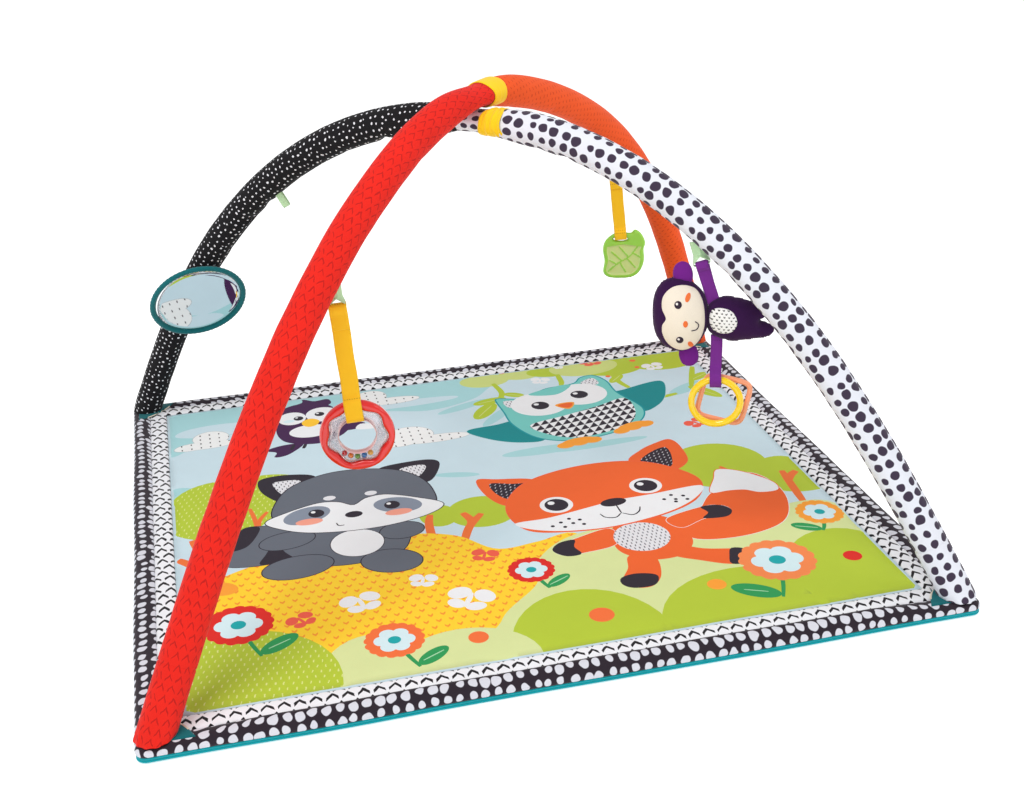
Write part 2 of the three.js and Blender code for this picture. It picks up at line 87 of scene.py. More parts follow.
class GymSizes(bpy.types.PropertyGroup):
    """Sizes of the soft pieces."""

    sleeve: size("Sleeve radius", 0.0193, "Outer radius of the padded sleeves")
    foot_inset: size("Foot inset", 0.022, "How far in from the mat's edges the feet stand")
    arch_height: size("Arch height", 0.5025, "Mean height of the two centre lines at the crossing")
    arch_offset: size("Arch offset", 0.0069, "Half the height between the two arches as a whole")
    crossing_rise: size("Crossing rise", 0.0129, "How far each arch gives way to the other at the crossing")
    crossing_reach: size("Crossing reach", 0.09, "How far from the crossing that is felt")
    strip: size("Strip width", 0.024, "Width of the white strip round the panel")
    corner: size("Mat corner", 0.012, "Corner radius of the mat")
    wrap: size("Wrap width", 0.033, "Width of the yellow band over the crossing")
    puff: size("Panel puff", 0.0016, "How far the padding lifts the panel between its seams")


class GymColours(bpy.types.PropertyGroup):
    """Colours of the fabrics and plastics."""

    red: ink("Red jersey", "#EA2417")
    orange: ink("Orange jersey", "#F4581C")
    black: ink("Black jersey", "#121014")
    white: ink("White jersey", "#E4E7F0")
    plum: ink("Plum print", "#3E3346")
    border: ink("Border cotton", "#2B222C")
    teal: ink("Teal cotton", "#0BA3AD")
    deep_teal: ink("Deep teal knit", "#0B6A70")
    yellow: ink("Yellow jersey", "#FFD21C")
    webbing: ink("Yellow webbing", "#FBC417")
    ribbon: ink("Ribbon", "#BFE3B4")
    velour: ink("Purple velour", "#351044")
    bright: ink("Bright purple", "#74208A")
    cream: ink("Cream velour", "#F3E8D6")
    ring: ink("Yellow plastic", "#FFD60A")
    link: ink("Peach plastic", "#F9A27A")
    rattle: ink("Red plastic", "#E5170F")
    leaf: ink("Leaf silicone", "#98D548")
    leaf_pale: ink("Leaf inner", "#CBDD8C")


LEGS = {
    "red": {"foot": (-1, -1), "bulge": 0.717, "side": 1, "press": -2.7, "spread": 60, "seam": 0.075, "crease": 0.35, "end": 1.022},
    "orange": {"foot": (1, 1), "bulge": 1.225, "side": 1, "press": -2.7, "spread": 60, "seam": 0.07, "crease": 0.7, "end": 0.977},
    "black": {"foot": (-1, 1), "bulge": 1.1, "side": -1, "press": 9.7, "spread": 105, "seam": 0.059, "crease": 1.7, "end": 0.972},
    "white": {"foot": (1, -1), "bulge": 0.957, "side": -1, "press": 9.7, "spread": 105, "seam": 0.072, "crease": 1.5, "end": 1.027},
}
ARCH = {"red": "red_orange_arch", "orange": "red_orange_arch", "black": "black_white_arch", "white": "black_white_arch"}


# Mesh helpers


def ripple(u, v, seed, count=7):
    """Smooth noise between about -1 and 1: a sum of sines of u and v, with seeded directions and phases."""
    rng = np.random.default_rng(seed)
    total = 0
    for _ in range(count):
        a, b = rng.uniform(-1, 1, 2)
        total = total + np.sin(TAU * (a * u + b * v) + rng.uniform(0, TAU))
    return total / count * 1.6


def grid_faces(rows, columns, wrap_rows, wrap_columns):
    """Corner numbers of the quads between neighbours of a grid, and the grid steps of each corner."""
    i, j = np.meshgrid(
        np.arange(rows if wrap_rows else rows - 1), np.arange(columns if wrap_columns else columns - 1), indexing="ij"
    )
    steps = np.stack([np.stack([i, j], -1), np.stack([i + 1, j], -1), np.stack([i + 1, j + 1], -1), np.stack([i, j + 1], -1)], 2)
    steps = steps.reshape(-1, 4, 2)
    return (steps[..., 0] % rows) * columns + steps[..., 1] % columns, steps


def skin(name, points, material, wrap=(False, False), uv=None, smooth=True, outward=True):
    """A mesh object from a grid of points (rows, columns, 3): quads between neighbours, doubles merged.

    uv gives the two distances, in metres, along the rows and columns of the faces' corners."""
    points = np.asarray(points, float)
    rows, columns = points.shape[:2]
    faces, steps = grid_faces(rows, columns, *wrap)
    mesh = bpy.data.meshes.new(name)
    mesh.from_pydata(points.reshape(-1, 3), [], faces.tolist())
    if uv is not None:
        layer = mesh.uv_layers.new(name="cloth")
        pairs = np.stack([np.asarray(uv[0])[steps[..., 0]], np.asarray(uv[1])[steps[..., 1]]], -1)
        layer.data.foreach_set("uv", pairs.astype(np.float32).ravel())
    return tidy_mesh(name, mesh, material, smooth, outward)


def tidy_mesh(name, mesh, materials, smooth=True, outward=True):
    """Merges doubles, turns a closed mesh's faces outwards, and puts the mesh in the scene."""
    work = bmesh.new()
    work.from_mesh(mesh)
    bmesh.ops.remove_doubles(work, verts=work.verts, dist=2e-6)
    bmesh.ops.dissolve_degenerate(work, edges=work.edges, dist=1e-7)
    if outward:
        bmesh.ops.recalc_face_normals(work, faces=work.faces)
    work.to_mesh(mesh)
    work.free()
    mesh.shade_smooth() if smooth else mesh.shade_flat()
    piece = bpy.data.objects.new(name, mesh)
    bpy.context.scene.collection.objects.link(piece)
    for material in materials if isinstance(materials, (list, tuple)) else [materials]:
        mesh.materials.append(material)
    return piece


def settle(piece, body, nodes=()):
    """Puts a finished piece on its body, and hides the CAD nodes that it stands for."""
    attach(piece, body)
    if nodes:
        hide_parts(*nodes)
    return piece


def thicken(piece, thickness, offset=0.0, levels=0):
    """Gives a sheet its thickness, and rounds it."""
    wall = piece.modifiers.new("wall", "SOLIDIFY")
    wall.thickness = thickness
    wall.offset = offset
    wall.use_even_offset = True
    if levels:
        round_it = piece.modifiers.new("round", "SUBSURF")
        round_it.levels = levels
        round_it.render_levels = levels
    return piece


def along(points):
    """Running length of a line of points."""
    return np.concatenate([[0], np.cumsum(np.linalg.norm(np.diff(points, axis=0), axis=1))])


def smooth_line(points, count, closed=False):
    """A Catmull-Rom curve through points, sampled evenly in length."""
    points = np.asarray(points, float)
    n = len(points)
    ends = [points[-1:], points, points[:2]] if closed else [2 * points[:1] - points[1:2], points, 2 * points[-1:] - points[-2:-1]]
    p = np.concatenate(ends)
    t = np.linspace(0, 1, 13)[:-1, None, None]
    a, b, c, d = (p[k:k + (n if closed else n - 1)] for k in range(4))
    curve = 0.5 * (2 * b + (c - a) * t + (2 * a - 5 * b + 4 * c - d) * t ** 2 + (3 * b - a - 3 * c + d) * t ** 3)
    curve = np.concatenate([curve.transpose(1, 0, 2).reshape(-1, points.shape[1]), points[:1] if closed else points[-1:]])
    length = along(curve)
    at = np.linspace(0, length[-1], count + 1)[:-1] if closed else np.linspace(0, length[-1], count)
    return np.stack([np.interp(at, length, curve[:, k]) for k in range(points.shape[1])], -1)


def rounded_section(width, thickness, count=16, power=4.0):
    """A flat strap's section: a superellipse of that width and thickness."""
    angle = np.linspace(0, TAU, count, endpoint=False)
    x = np.sign(np.cos(angle)) * np.abs(np.cos(angle)) ** (2 / power)
    y = np.sign(np.sin(angle)) * np.abs(np.sin(angle)) ** (2 / power)
    return np.stack([x * width / 2, y * thickness / 2], -1)


# Materials


def linear(colour):
    """sRGB hex text as linear red, green, blue and alpha."""
    channels = [int(colour[i:i + 2], 16) / 255 for i in (1, 3, 5)]
    return tuple(c / 12.92 if c <= 0.04045 else ((c + 0.055) / 1.055) ** 2.4 for c in channels) + (1.0,)


def node(tree, kind, inputs=(), out=0, **settings):
    """Adds a node with its settings, fills or links its inputs, and returns one of its outputs."""
    made = tree.nodes.new("ShaderNode" + kind)
    for name, value in settings.items():
        setattr(made, name, value)
    for key, value in dict(inputs).items():
        if isinstance(value, bpy.types.NodeSocket):
            tree.links.new(value, made.inputs[key])
        else:
            made.inputs[key].default_value = value
    return made.outputs[out]


def material(name, build):
    """A material whose shader build(tree) returns, made once."""
    if name in bpy.data.materials:
        return bpy.data.materials[name]
    made = bpy.data.materials.new(name)
    made.use_nodes = True
    tree = made.node_tree
    tree.nodes.clear()
    shader = build(tree)
    end = tree.nodes.new("ShaderNodeOutputMaterial")
    tree.links.new(shader, end.inputs["Surface"])
    return made


def place_of(tree, cloth):
    """Where a pattern is read: along the cloth, in metres, or in the piece's own space."""
    return node(tree, "UVMap", uv_map="cloth") if cloth else node(tree, "TexCoord", out="Object")


def cloth_shader(tree, colour, place, thread=1.2, depth=0.25, roughness=0.9, sheen=0.25, mottle=0.05):
    """Woven or knitted cloth: thread-sized bumps, faint colour variation, and a soft sheen at grazing angles."""
    threads = node(tree, "TexNoise", {"Vector": place, "Scale": 1 / (thread * MM), "Detail": 1.5, "Roughness": 0.6})
    patches = node(tree, "TexNoise", {"Vector": place, "Scale": 28.0, "Detail": 3.0})
    both = node(tree, "Math", {0: threads, 1: patches}, operation="ADD")
    shade = node(tree, "MapRange", {"Value": both, "From Min": 0.6, "From Max": 1.4, "To Min": 1 - 2 * mottle, "To Max": 1.0})
    tinted = node(tree, "Mix", {0: 1.0, 6: colour, 7: shade}, out=2, data_type="RGBA", blend_type="MULTIPLY")
    bump = node(tree, "Bump", {"Height": threads, "Strength": depth, "Distance": 0.6 * MM})
    return node(tree, "BsdfPrincipled", {
        "Base Color": tinted, "Roughness": roughness, "Sheen Weight": sheen, "Sheen Roughness": 0.4,
        "Specular IOR Level": 0.25, "Normal": bump,
    })


def plastic(name, colour, roughness=0.25, grain=0.4, **extra):
    """Moulded plastic: smooth and glossy, with a faint unevenness from the mould."""
    def build(tree):
        place = place_of(tree, False)
        waves = node(tree, "TexNoise", {"Vector": place, "Scale": 90.0, "Detail": 2.0})
        bump = node(tree, "Bump", {"Height": waves, "Strength": grain * 0.2, "Distance": 0.5 * MM})
        shade = node(tree, "MapRange", {"Value": waves, "To Min": 0.94, "To Max": 1.03})
        tinted = node(tree, "Mix", {0: 1.0, 6: linear(colour), 7: shade}, out=2, data_type="RGBA", blend_type="MULTIPLY")
        return node(tree, "BsdfPrincipled", {"Base Color": tinted, "Roughness": roughness, "Normal": bump, **extra})
    return material(name, build)


def two_inks(tree, share, first, second):
    """First ink where share is 0, second where it is 1."""
    return node(tree, "Mix", {0: share, 6: first, 7: second}, out=2, data_type="RGBA")


def spots(tree, place, pitch, radius, spread=0.35, wobble=0.12, vary=0.4):
    """Irregular printed spots: cells about pitch apart, each with a spot of about that radius, in millimetres.

    The share is 1 inside a spot. A spot's edge wobbles, and its size varies from cell to cell."""
    sized = node(tree, "Mapping", {"Vector": place, "Scale": (1 / (pitch * MM),) * 3})
    shift = node(tree, "TexNoise", {"Vector": sized, "Scale": 1.6, "Detail": 0.0}, out="Color")
    middle = node(tree, "VectorMath", {0: shift, 1: (0.5, 0.5, 0.5)}, operation="SUBTRACT")
    bent = node(tree, "VectorMath", {0: middle, 1: (wobble, wobble, 0)}, operation="MULTIPLY")
    moved = node(tree, "VectorMath", {0: sized, 1: bent}, operation="ADD")
    cells = tree.nodes.new("ShaderNodeTexVoronoi")
    cells.voronoi_dimensions = "2D"
    cells.inputs["Scale"].default_value = 1.0
    cells.inputs["Randomness"].default_value = spread
    tree.links.new(moved, cells.inputs["Vector"])
    chance = node(tree, "SeparateColor", {"Color": cells.outputs["Color"]})
    own = node(tree, "MapRange", {"Value": chance, "To Min": (1 - vary / 2) * radius / pitch, "To Max": (1 + vary / 2) * radius / pitch})
    inside = node(tree, "Math", {0: own, 1: cells.outputs["Distance"]}, operation="SUBTRACT")
    return node(tree, "MapRange", {"Value": inside, "From Min": -0.02, "From Max": 0.02})


def strokes(tree, place, pitch, arm, rise, width, stagger=0.5, turn=0.0, jitter=0.12):
    """Printed chevrons or dashes on a lattice, in millimetres: pitch (across, along), arm half as wide as the
    mark, rise from its ends to its tip. The share is 1 on a line |along - rise * (1 - |across| / arm)| < width / 2."""
    turned = node(tree, "Mapping", {"Vector": place, "Rotation": (0, 0, turn), "Scale": (1000.0, 1000.0, 1000.0)})
    noise = node(tree, "TexNoise", {"Vector": turned, "Scale": 0.35 / pitch[0] * 4, "Detail": 1.0}, out="Color")
    middle = node(tree, "VectorMath", {0: noise, 1: (0.5, 0.5, 0.5)}, operation="SUBTRACT")
    bent = node(tree, "VectorMath", {0: middle, 1: (pitch[0] * jitter * 2,) * 3}, operation="MULTIPLY")
    moved = node(tree, "VectorMath", {0: turned, 1: bent}, operation="ADD")
    apart = tree.nodes.new("ShaderNodeSeparateXYZ")
    tree.links.new(moved, apart.inputs[0])
    x, y = apart.outputs[0], apart.outputs[1]
    row = node(tree, "Math", {0: y, 1: pitch[1]}, operation="DIVIDE")
    row_number = node(tree, "Math", {0: row}, operation="FLOOR")
    odd = node(tree, "Math", {0: row_number, 1: 2.0}, operation="FLOORED_MODULO")
    slid = node(tree, "Math", {0: odd, 1: stagger * pitch[0], 2: x}, operation="MULTIPLY_ADD")
    in_x = node(tree, "Math", {0: slid, 1: pitch[0]}, operation="FLOORED_MODULO")
    from_x = node(tree, "Math", {0: in_x, 1: pitch[0] / 2}, operation="SUBTRACT")
    side = node(tree, "Math", {0: from_x}, operation="ABSOLUTE")
    in_y = node(tree, "Math", {0: y, 1: pitch[1]}, operation="FLOORED_MODULO")
    from_y = node(tree, "Math", {0: in_y, 1: (pitch[1] - rise) / 2}, operation="SUBTRACT")
    line = node(tree, "Math", {0: side, 1: rise / arm, 2: from_y}, operation="MULTIPLY_ADD")
    off = node(tree, "Math", {0: line, 1: rise}, operation="SUBTRACT")
    away = node(tree, "Math", {0: off}, operation="ABSOLUTE")
    near = node(tree, "MapRange", {"Value": away, "From Min": width / 2 - 0.2, "From Max": width / 2 + 0.2, "To Min": 1.0, "To Max": 0.0})
    short = node(tree, "MapRange", {"Value": side, "From Min": arm - 0.2, "From Max": arm + 0.2, "To Min": 1.0, "To Max": 0.0})
    return node(tree, "Math", {0: near, 1: short}, operation="MULTIPLY")


def fabric(name, base, marks=None, second=None, cloth=True, **weave):
    """A cloth of one ink, or with marks(tree, place) printed on it in a second ink."""
    def build(tree):
        place = place_of(tree, cloth)
        colour = linear(base)
        if marks:
            colour = two_inks(tree, marks(tree, place), colour, linear(second))
        return cloth_shader(tree, colour, place, **weave)
    return material(name, build)


# The mat


def mat_ring(inset, corner=None, side_points=48, corner_points=8):
    """A closed line round the mat at a distance in from its edge: straight sides and round corners.

    Every inset has as many points, so the lines join to a grid with mitred corners."""
    sizes = bpy.context.scene.play_gym
    radius = max((sizes.corner if corner is None else corner) - inset, 0.4 * MM)
    middle = MAT_HALF - inset - radius
    angle = np.linspace(0, math.pi / 2, corner_points)
    spread = np.linspace(-1, 1, side_points + 2)[1:-1]
    parts = []
    for turn in range(4):
        c, s = round(math.cos(turn * math.pi / 2)), round(math.sin(turn * math.pi / 2))
        half = middle if turn % 2 == 0 else middle[::-1]
        edge = np.stack([np.full(side_points, half[0] + radius), spread * half[1]], -1)
        arc = np.stack([half[0] + radius * np.cos(angle), half[1] + radius * np.sin(angle)], -1)
        both = np.concatenate([edge, arc])
        parts.append(both @ np.array([[c, s], [-s, c]]))
    return np.concatenate(parts)


def sway(points):
    """How far the soft edge strays outwards at a point, in metres."""
    return 1.3 * MM * ripple(points[..., 0] * 4.2, points[..., 1] * 4.2, 11) * MM / MM


def mat_band(name, profile, cloth, wave=0.0, seed=3, full=0.0):
    """A closed band round the mat: a profile of insets and heights, in millimetres, carried round the edge.

    full is how much higher the filling stands along the front, between the corners."""
    profile = np.asarray(profile, float) * MM
    rings = []
    for inset, height in profile:
        line = mat_ring(inset)
        lift = height + wave * MM * ripple(line[:, 0] * 9, line[:, 1] * 9, seed) * (height > 0.012)
        front = np.clip((0.38 - np.abs(line[:, 0])) / 0.06, 0, 1) * np.clip((-line[:, 1] - 0.37) / 0.02, 0, 1)
        lift = lift + full * MM * front * math.exp(-((inset - 0.015) / 0.009) ** 2) * (height > 0.012)
        pushed = line * (1 + (sway(line) * max(0, 1 - inset / 0.03))[:, None] / np.linalg.norm(line, axis=1)[:, None])
        rings.append(np.column_stack([pushed, np.broadcast_to(lift, len(line))]))
    grid = np.stack(rings)
    outer = mat_ring(profile[:, 0].min())
    round_it = along(np.concatenate([outer, outer[:1]]))
    across = along(np.concatenate([profile, profile[:1]]))
    return skin(name, grid, cloth, wrap=(True, True), uv=(across, round_it))


def outline_profile(points, count=40):
    """A closed smooth profile through a few points."""
    return smooth_line(points, count, closed=True)


class GYM_OT_mat_edges(bpy.types.Operator):
    """Backing, rolled edge, dotted border and white strip of the mat."""

    bl_idname = "gym.mat_edges"
    bl_label = "Mat edges"

    def execute(self, context):
        """Profiles round the mat: each is closed, and fills out between its seams."""
        colours = context.scene.play_gym_colours
        # Woven polyester, dyed: matt, with a fine even weave.
        teal = fabric("teal woven polyester", colours.teal, cloth=False, thread=1.4, depth=0.3)
        # Cotton print: white spots left open in a plum ground.
        dots = fabric("plum cotton with white dots", colours.border, edge_dots, "#DADBE4")
        # The same cotton in white, printed with small black chevrons that all point to the back.
        chevrons = fabric("white cotton with chevrons", "#F1F2F6", strip_chevrons, "#1B171C", cloth=False, mottle=0.03)
        strip = context.scene.play_gym.strip / MM
        inner = strip * 2
        edge = mat_band("rolled_teal_edge", outline_profile([
            (0.6, 1.9), (1.5, 0.7), (3.6, 0.3), (6, 1.0), (6.5, 3.2), (6, 5.6), (3.8, 6.6), (1.7, 6.2), (0.8, 4.8), (1.9, 3.4),
        ]), teal, wave=0.0)
        settle(edge, "mat", ["rolled_edge"])
        border = mat_band("dotted_border", outline_profile([
            (strip + 0.6, 12.6), (strip - 2.2, 15.0), (16, 16.4), (9, 16.3), (3.6, 14.6), (0.6, 11.4), (0.2, 8.4), (1.9, 6.2), (8, 5.4), (strip, 6),
        ]), dots, wave=0.6, seed=5, full=5.0)
        sides = ["front", "back", "left", "right"]
        settle(border, "mat", [f"dotted_border_{side}" for side in sides])
        band = mat_band("chevron_strip", outline_profile([
            (inner - 0.2, 13.0), (inner - 3.5, 15.3), (inner - 9, 16), (strip + 9, 16), (strip + 3.5, 15.3), (strip + 0.6, 12.8), (strip + 3, 6), (inner - 2, 6),
        ], 32), chevrons, wave=0.4, seed=7)
        settle(band, "mat", [f"chevron_strip_{side}" for side in sides])
        settle(self.backing(teal), "mat", ["mat_backing"])
        return {"FINISHED"}

    def backing(self, teal):
        """A flat slab with rounded edges under the whole mat, from rings that shrink to its middle."""
        steps = [(4.0, 2.6), (2.4, 1.9), (2.2, 0.8), (3.4, 0.05), (12, 0.0), (60, 0.0), (180, 0.0), (380, 0.0)]
        rings = [np.column_stack([mat_ring(d * MM), np.full(len(mat_ring(0)), z * MM)]) for d, z in steps]
        middle = rings[-1].mean(0)
        top = np.column_stack([mat_ring(4 * MM)[:, :2], np.full(len(rings[0]), 2.6 * MM)])
        rings = [np.zeros_like(top) + (0, 0, 2.6 * MM), top, *rings, np.zeros_like(top) + middle * (0, 0, 1)]
        return skin("mat_backing_cloth", np.stack(rings), teal, wrap=(False, True))


def edge_dots(tree, place):
    """White dots about 9 mm across and 13 mm apart."""
    return spots(tree, place, 13.2, 4.5, spread=0.28, wobble=0.25, vary=0.4)


def strip_chevrons(tree, place):
    """Chevrons 12 mm wide and 10 mm tall, about 15 mm apart."""
    return strokes(tree, place, (16.0, 13.5), 6.2, 6.6, 4.8, stagger=0.5, jitter=0.12)


def panel_height(x, y):
    """Top of the padded panel: it dips to its seam all round, and rolls a little in between."""
    sizes = bpy.context.scene.play_gym
    gap = np.minimum(PANEL_HALF[0] - np.abs(x), PANEL_HALF[1] - np.abs(y))
    fullness = 1 - np.exp(-np.clip(gap, 0, None) / 0.011)
    roll = 0.35 * MM * ripple(x * 5, y * 5, 21) * fullness
    return PANEL_TOP - 3.0 * MM + (1.4 * MM + sizes.puff) * fullness + roll


class GYM_OT_corner_tabs(bpy.types.Operator):
    """A teal tab at each corner of the mat, where a foot rests, with a bound edge."""

    bl_idname = "gym.corner_tabs"
    bl_label = "Corner tabs"

    def execute(self, context):
        """Each tab is a soft sheet between two curved edges, domed by a product of sines."""
        colours = context.scene.play_gym_colours
        teal = fabric("deep teal tab cotton", colours.deep_teal, cloth=False, thread=1.4)
        cream = fabric("cream cut edge", "#E9DFCB", cloth=False, thread=0.9)
        for name, leg in LEGS.items():
            low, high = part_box(f"{name}_corner_tab")
            sx, sy = leg["foot"]
            span = (high[0] - low[0])
            outer = np.array([max(abs(low[0]), abs(high[0])), max(abs(low[1]), abs(high[1]))])
            u, v = np.meshgrid(np.linspace(0, 1, 15), np.linspace(0, 1, 15), indexing="ij")
            cut = 1 - 0.42 * np.clip(u + v - 1, 0, None)
            x = sx * (outer[0] - 3 * MM - (span - 6 * MM) * u * cut)
            y = sy * (outer[1] - 3 * MM - (span - 6 * MM) * v * cut)
            z = 16.3 * MM + 1.6 * MM * np.sin(math.pi * np.clip(u, 0.05, 0.95)) * np.sin(math.pi * np.clip(v, 0.05, 0.95))
            tab = skin(f"{name}_tab", np.stack([x, y, z], -1), teal, outward=False)
            thicken(tab, 0.9 * MM)
            settle(tab, "mat", [f"{name}_corner_tab"])
            edge = np.concatenate([np.stack([x, y, z + 0.4 * MM], -1)[-1, 4:], np.stack([x, y, z + 0.4 * MM], -1)[::-1, -1][1:-4]])
            line = smooth_line(edge, 40)
            hem = carry(line, rounded_section(2.2 * MM, 1.2 * MM, 10, 2), (0, 0, 1))
            settle(skin(f"{name}_tab_hem", hem, cream, wrap=(False, True)), "mat", ())
        return {"FINISHED"}


def carry(line, section, up):
    """A section carried along a line: the section's first axis lies across, its second along up or near it."""
    tangent = np.gradient(line, axis=0)
    tangent /= np.linalg.norm(tangent, axis=1)[:, None]
    across = np.cross(tangent, np.asarray(up, float))
    across /= np.linalg.norm(across, axis=1)[:, None]
    over = np.cross(across, tangent)
    body = line[:, None] + section[None, :, :1] * across[:, None] + section[None, :, 1:] * over[:, None]
    return np.concatenate([np.repeat(line[:1, None], len(section), 1), body, np.repeat(line[-1:, None], len(section), 1)])


# The arches


def leg_line(name, count, start=-0.024):
    """A leg's centre line, evenly spaced, and the unit vectors across it and out of its curve.

    The slope falls from the leg's bulge at the foot to level at the crossing as a cosine. Its running sums
    are scaled to the reach and height, and a Gaussian lifts or drops the crossing. A second one is how the
    tight band presses the two arches together."""
    sizes, leg = bpy.context.scene.play_gym, LEGS[name]
    foot = (MAT_HALF - sizes.foot_inset) * leg["foot"]
    reach = float(np.linalg.norm(foot))
    steps = 400
    slope = leg["bulge"] * np.cos(math.pi / 2 * (np.arange(steps) + 0.5) / steps)
    across = np.concatenate([[0], np.cumsum(np.cos(slope))])
    up = np.concatenate([[0], np.cumsum(np.sin(slope))])
    share = np.linspace(start, leg["end"], 1500)
    whole = np.clip(np.floor(share * steps).astype(int), 0, steps - 1)
    over = share * steps - whole
    radius = reach * (1 - (across[whole] + over * (across[whole + 1] - across[whole])) / across[-1])
    rise = sizes.arch_height + leg["side"] * sizes.arch_offset - FOOT_Z
    bump = leg["side"] * sizes.crossing_rise * np.exp(-0.5 * (radius / sizes.crossing_reach) ** 2)
    bump += leg["press"] * MM * np.exp(-0.5 * (radius / (leg["spread"] * MM)) ** 2)
    height = FOOT_Z + rise * (up[whole] + over * (up[whole + 1] - up[whole])) / up[-1] + bump
    out = foot / reach
    line = np.column_stack([radius * out[0], radius * out[1], height])
    length = along(line)
    at = np.linspace(0, length[-1], count) if np.isscalar(count) else np.asarray(count) * length[-1]
    line = np.stack([np.interp(at, length, line[:, k]) for k in range(3)], -1)
    tangent = np.gradient(line, axis=0)
    tangent /= np.linalg.norm(tangent, axis=1)[:, None]
    side = np.array([-out[1], out[0], 0.0])
    outward = np.cross(tangent, side)
    outward *= np.sign(outward[len(outward) // 2, 2])
    return line, side, outward, at


def sleeve_grid(name):
    """A padded sleeve: circles round the leg's line, closed at both ends, with seams and creases.

    The foot's end rounds in as a quarter ellipse and rests flat. Creases gather on the inside of the bend,
    as narrow sines, and a seam runs along it."""
    sizes, leg = bpy.context.scene.play_gym, LEGS[name]
    first, _, _, at = leg_line(name, 600)
    seam_share = np.interp(leg["seam"], first[:, 2], at) / at[-1]
    fine = seam_share + np.linspace(-4, 4, 9) * MM / at[-1]
    shares = np.unique(np.concatenate([np.linspace(0, 1, 300), fine, np.linspace(0, 14 * MM, 8) / at[-1]]))
    line, side, outward, length = leg_line(name, shares)
    around = np.linspace(0, TAU, 64, endpoint=False)
    u, v = np.meshgrid(length, around, indexing="ij")
    bend = np.sin(math.pi / 2 * u / length[-1]) ** 1.2
    inside = np.clip(-np.cos(v), 0, None) ** 1.5
    crease = np.clip(ripple(u * 42, v * 0.35, 31 + len(name), 9), 0, None) ** 2
    soft = 0.30 * ripple(u * 9, np.cos(v) * 0.6, 41 + len(name)) + 0.22 * ripple(u * 30, np.sin(v) * 0.9, 47)
    radius = sizes.sleeve + MM * (soft - 1.9 * leg["crease"] * crease * inside * bend)
    radius -= 0.9 * MM * np.exp(-((v - math.pi) / 0.06) ** 2)
    seam = length[-1] * seam_share
    radius -= 0.8 * MM * np.exp(-((u - seam) / (1.1 * MM)) ** 2)
    toe = 13 * MM
    rounded = np.sqrt(np.clip(1 - (1 - np.clip(u / toe, 0, 1)) ** 2, 0, 1)) ** 0.85
    gather = 1 - 0.06 * (1 + np.sin(11 * v)) * (1 - np.clip(u / (2.2 * toe), 0, 1))
    end = np.sqrt(np.clip(1 - (1 - np.clip((length[-1] - u) / (3 * MM), 0, 1)) ** 2, 0, 1))
    radius = radius * rounded * gather * end
    reach = np.linalg.norm(line[:, :2], axis=1)
    pressed = (1 - 0.33 * np.exp(-(reach / (42 * MM)) ** 2))[:, None, None]
    points = line[:, None] + radius[..., None] * (np.cos(v)[..., None] * outward[:, None] * pressed + np.sin(v)[..., None] * side)
    points[..., 2] = np.maximum(points[..., 2], FOOT_Z - 1.9 * MM)
    return points, length, np.linspace(0, TAU, 65) * sizes.sleeve


def sleeve_fabrics(colours):
    """Jersey over foam: knitted, soft and matt, each leg with its own small print."""
    return {
        "red": fabric("red jersey with chevrons", colours.red, lambda tree, place: strokes(
            tree, place, (10.5, 10.5), 3.6, 6.0, 2.4, turn=math.pi / 2, jitter=0.2), "#C01A15", thread=1.1, mottle=0.07, sheen=0.08),
        "orange": fabric("orange jersey with dashes", colours.orange, lambda tree, place: strokes(
            tree, place, (7.5, 7.5), 0.8, 0.0, 3.4, turn=0.3, jitter=0.22), "#D8430F", thread=1.1, mottle=0.06, sheen=0.08),
        "black": fabric("black jersey with dots", colours.black, lambda tree, place: spots(
            tree, place, 8.2, 1.2, spread=0.5, wobble=0.3, vary=0.5), "#EDEDF2", thread=1.1, sheen=0.06),
        "white": fabric("white jersey with plum spots", colours.white, lambda tree, place: spots(
            tree, place, 14.3, 4.8, spread=0.3, wobble=0.2, vary=0.4), colours.plum, thread=1.1, mottle=0.03),
    }


class GYM_OT_sleeves(bpy.types.Operator):
    """The four padded sleeves of the two arches."""

    bl_idname = "gym.sleeves"
    bl_label = "Sleeves"

    def execute(self, context):
        """One closed tube for each leg, with its cloth's distances along and round it as UV."""
        fabrics = sleeve_fabrics(context.scene.play_gym_colours)
        for name in LEGS:
            points, length, around = sleeve_grid(name)
            piece = skin(f"{name}_leg", points, fabrics[name], wrap=(False, True), uv=(length, around))
            hidden = [f"{name}_sleeve", f"{name}_foot_cap"]
            settle(piece, ARCH[name], hidden)
        return {"FINISHED"}


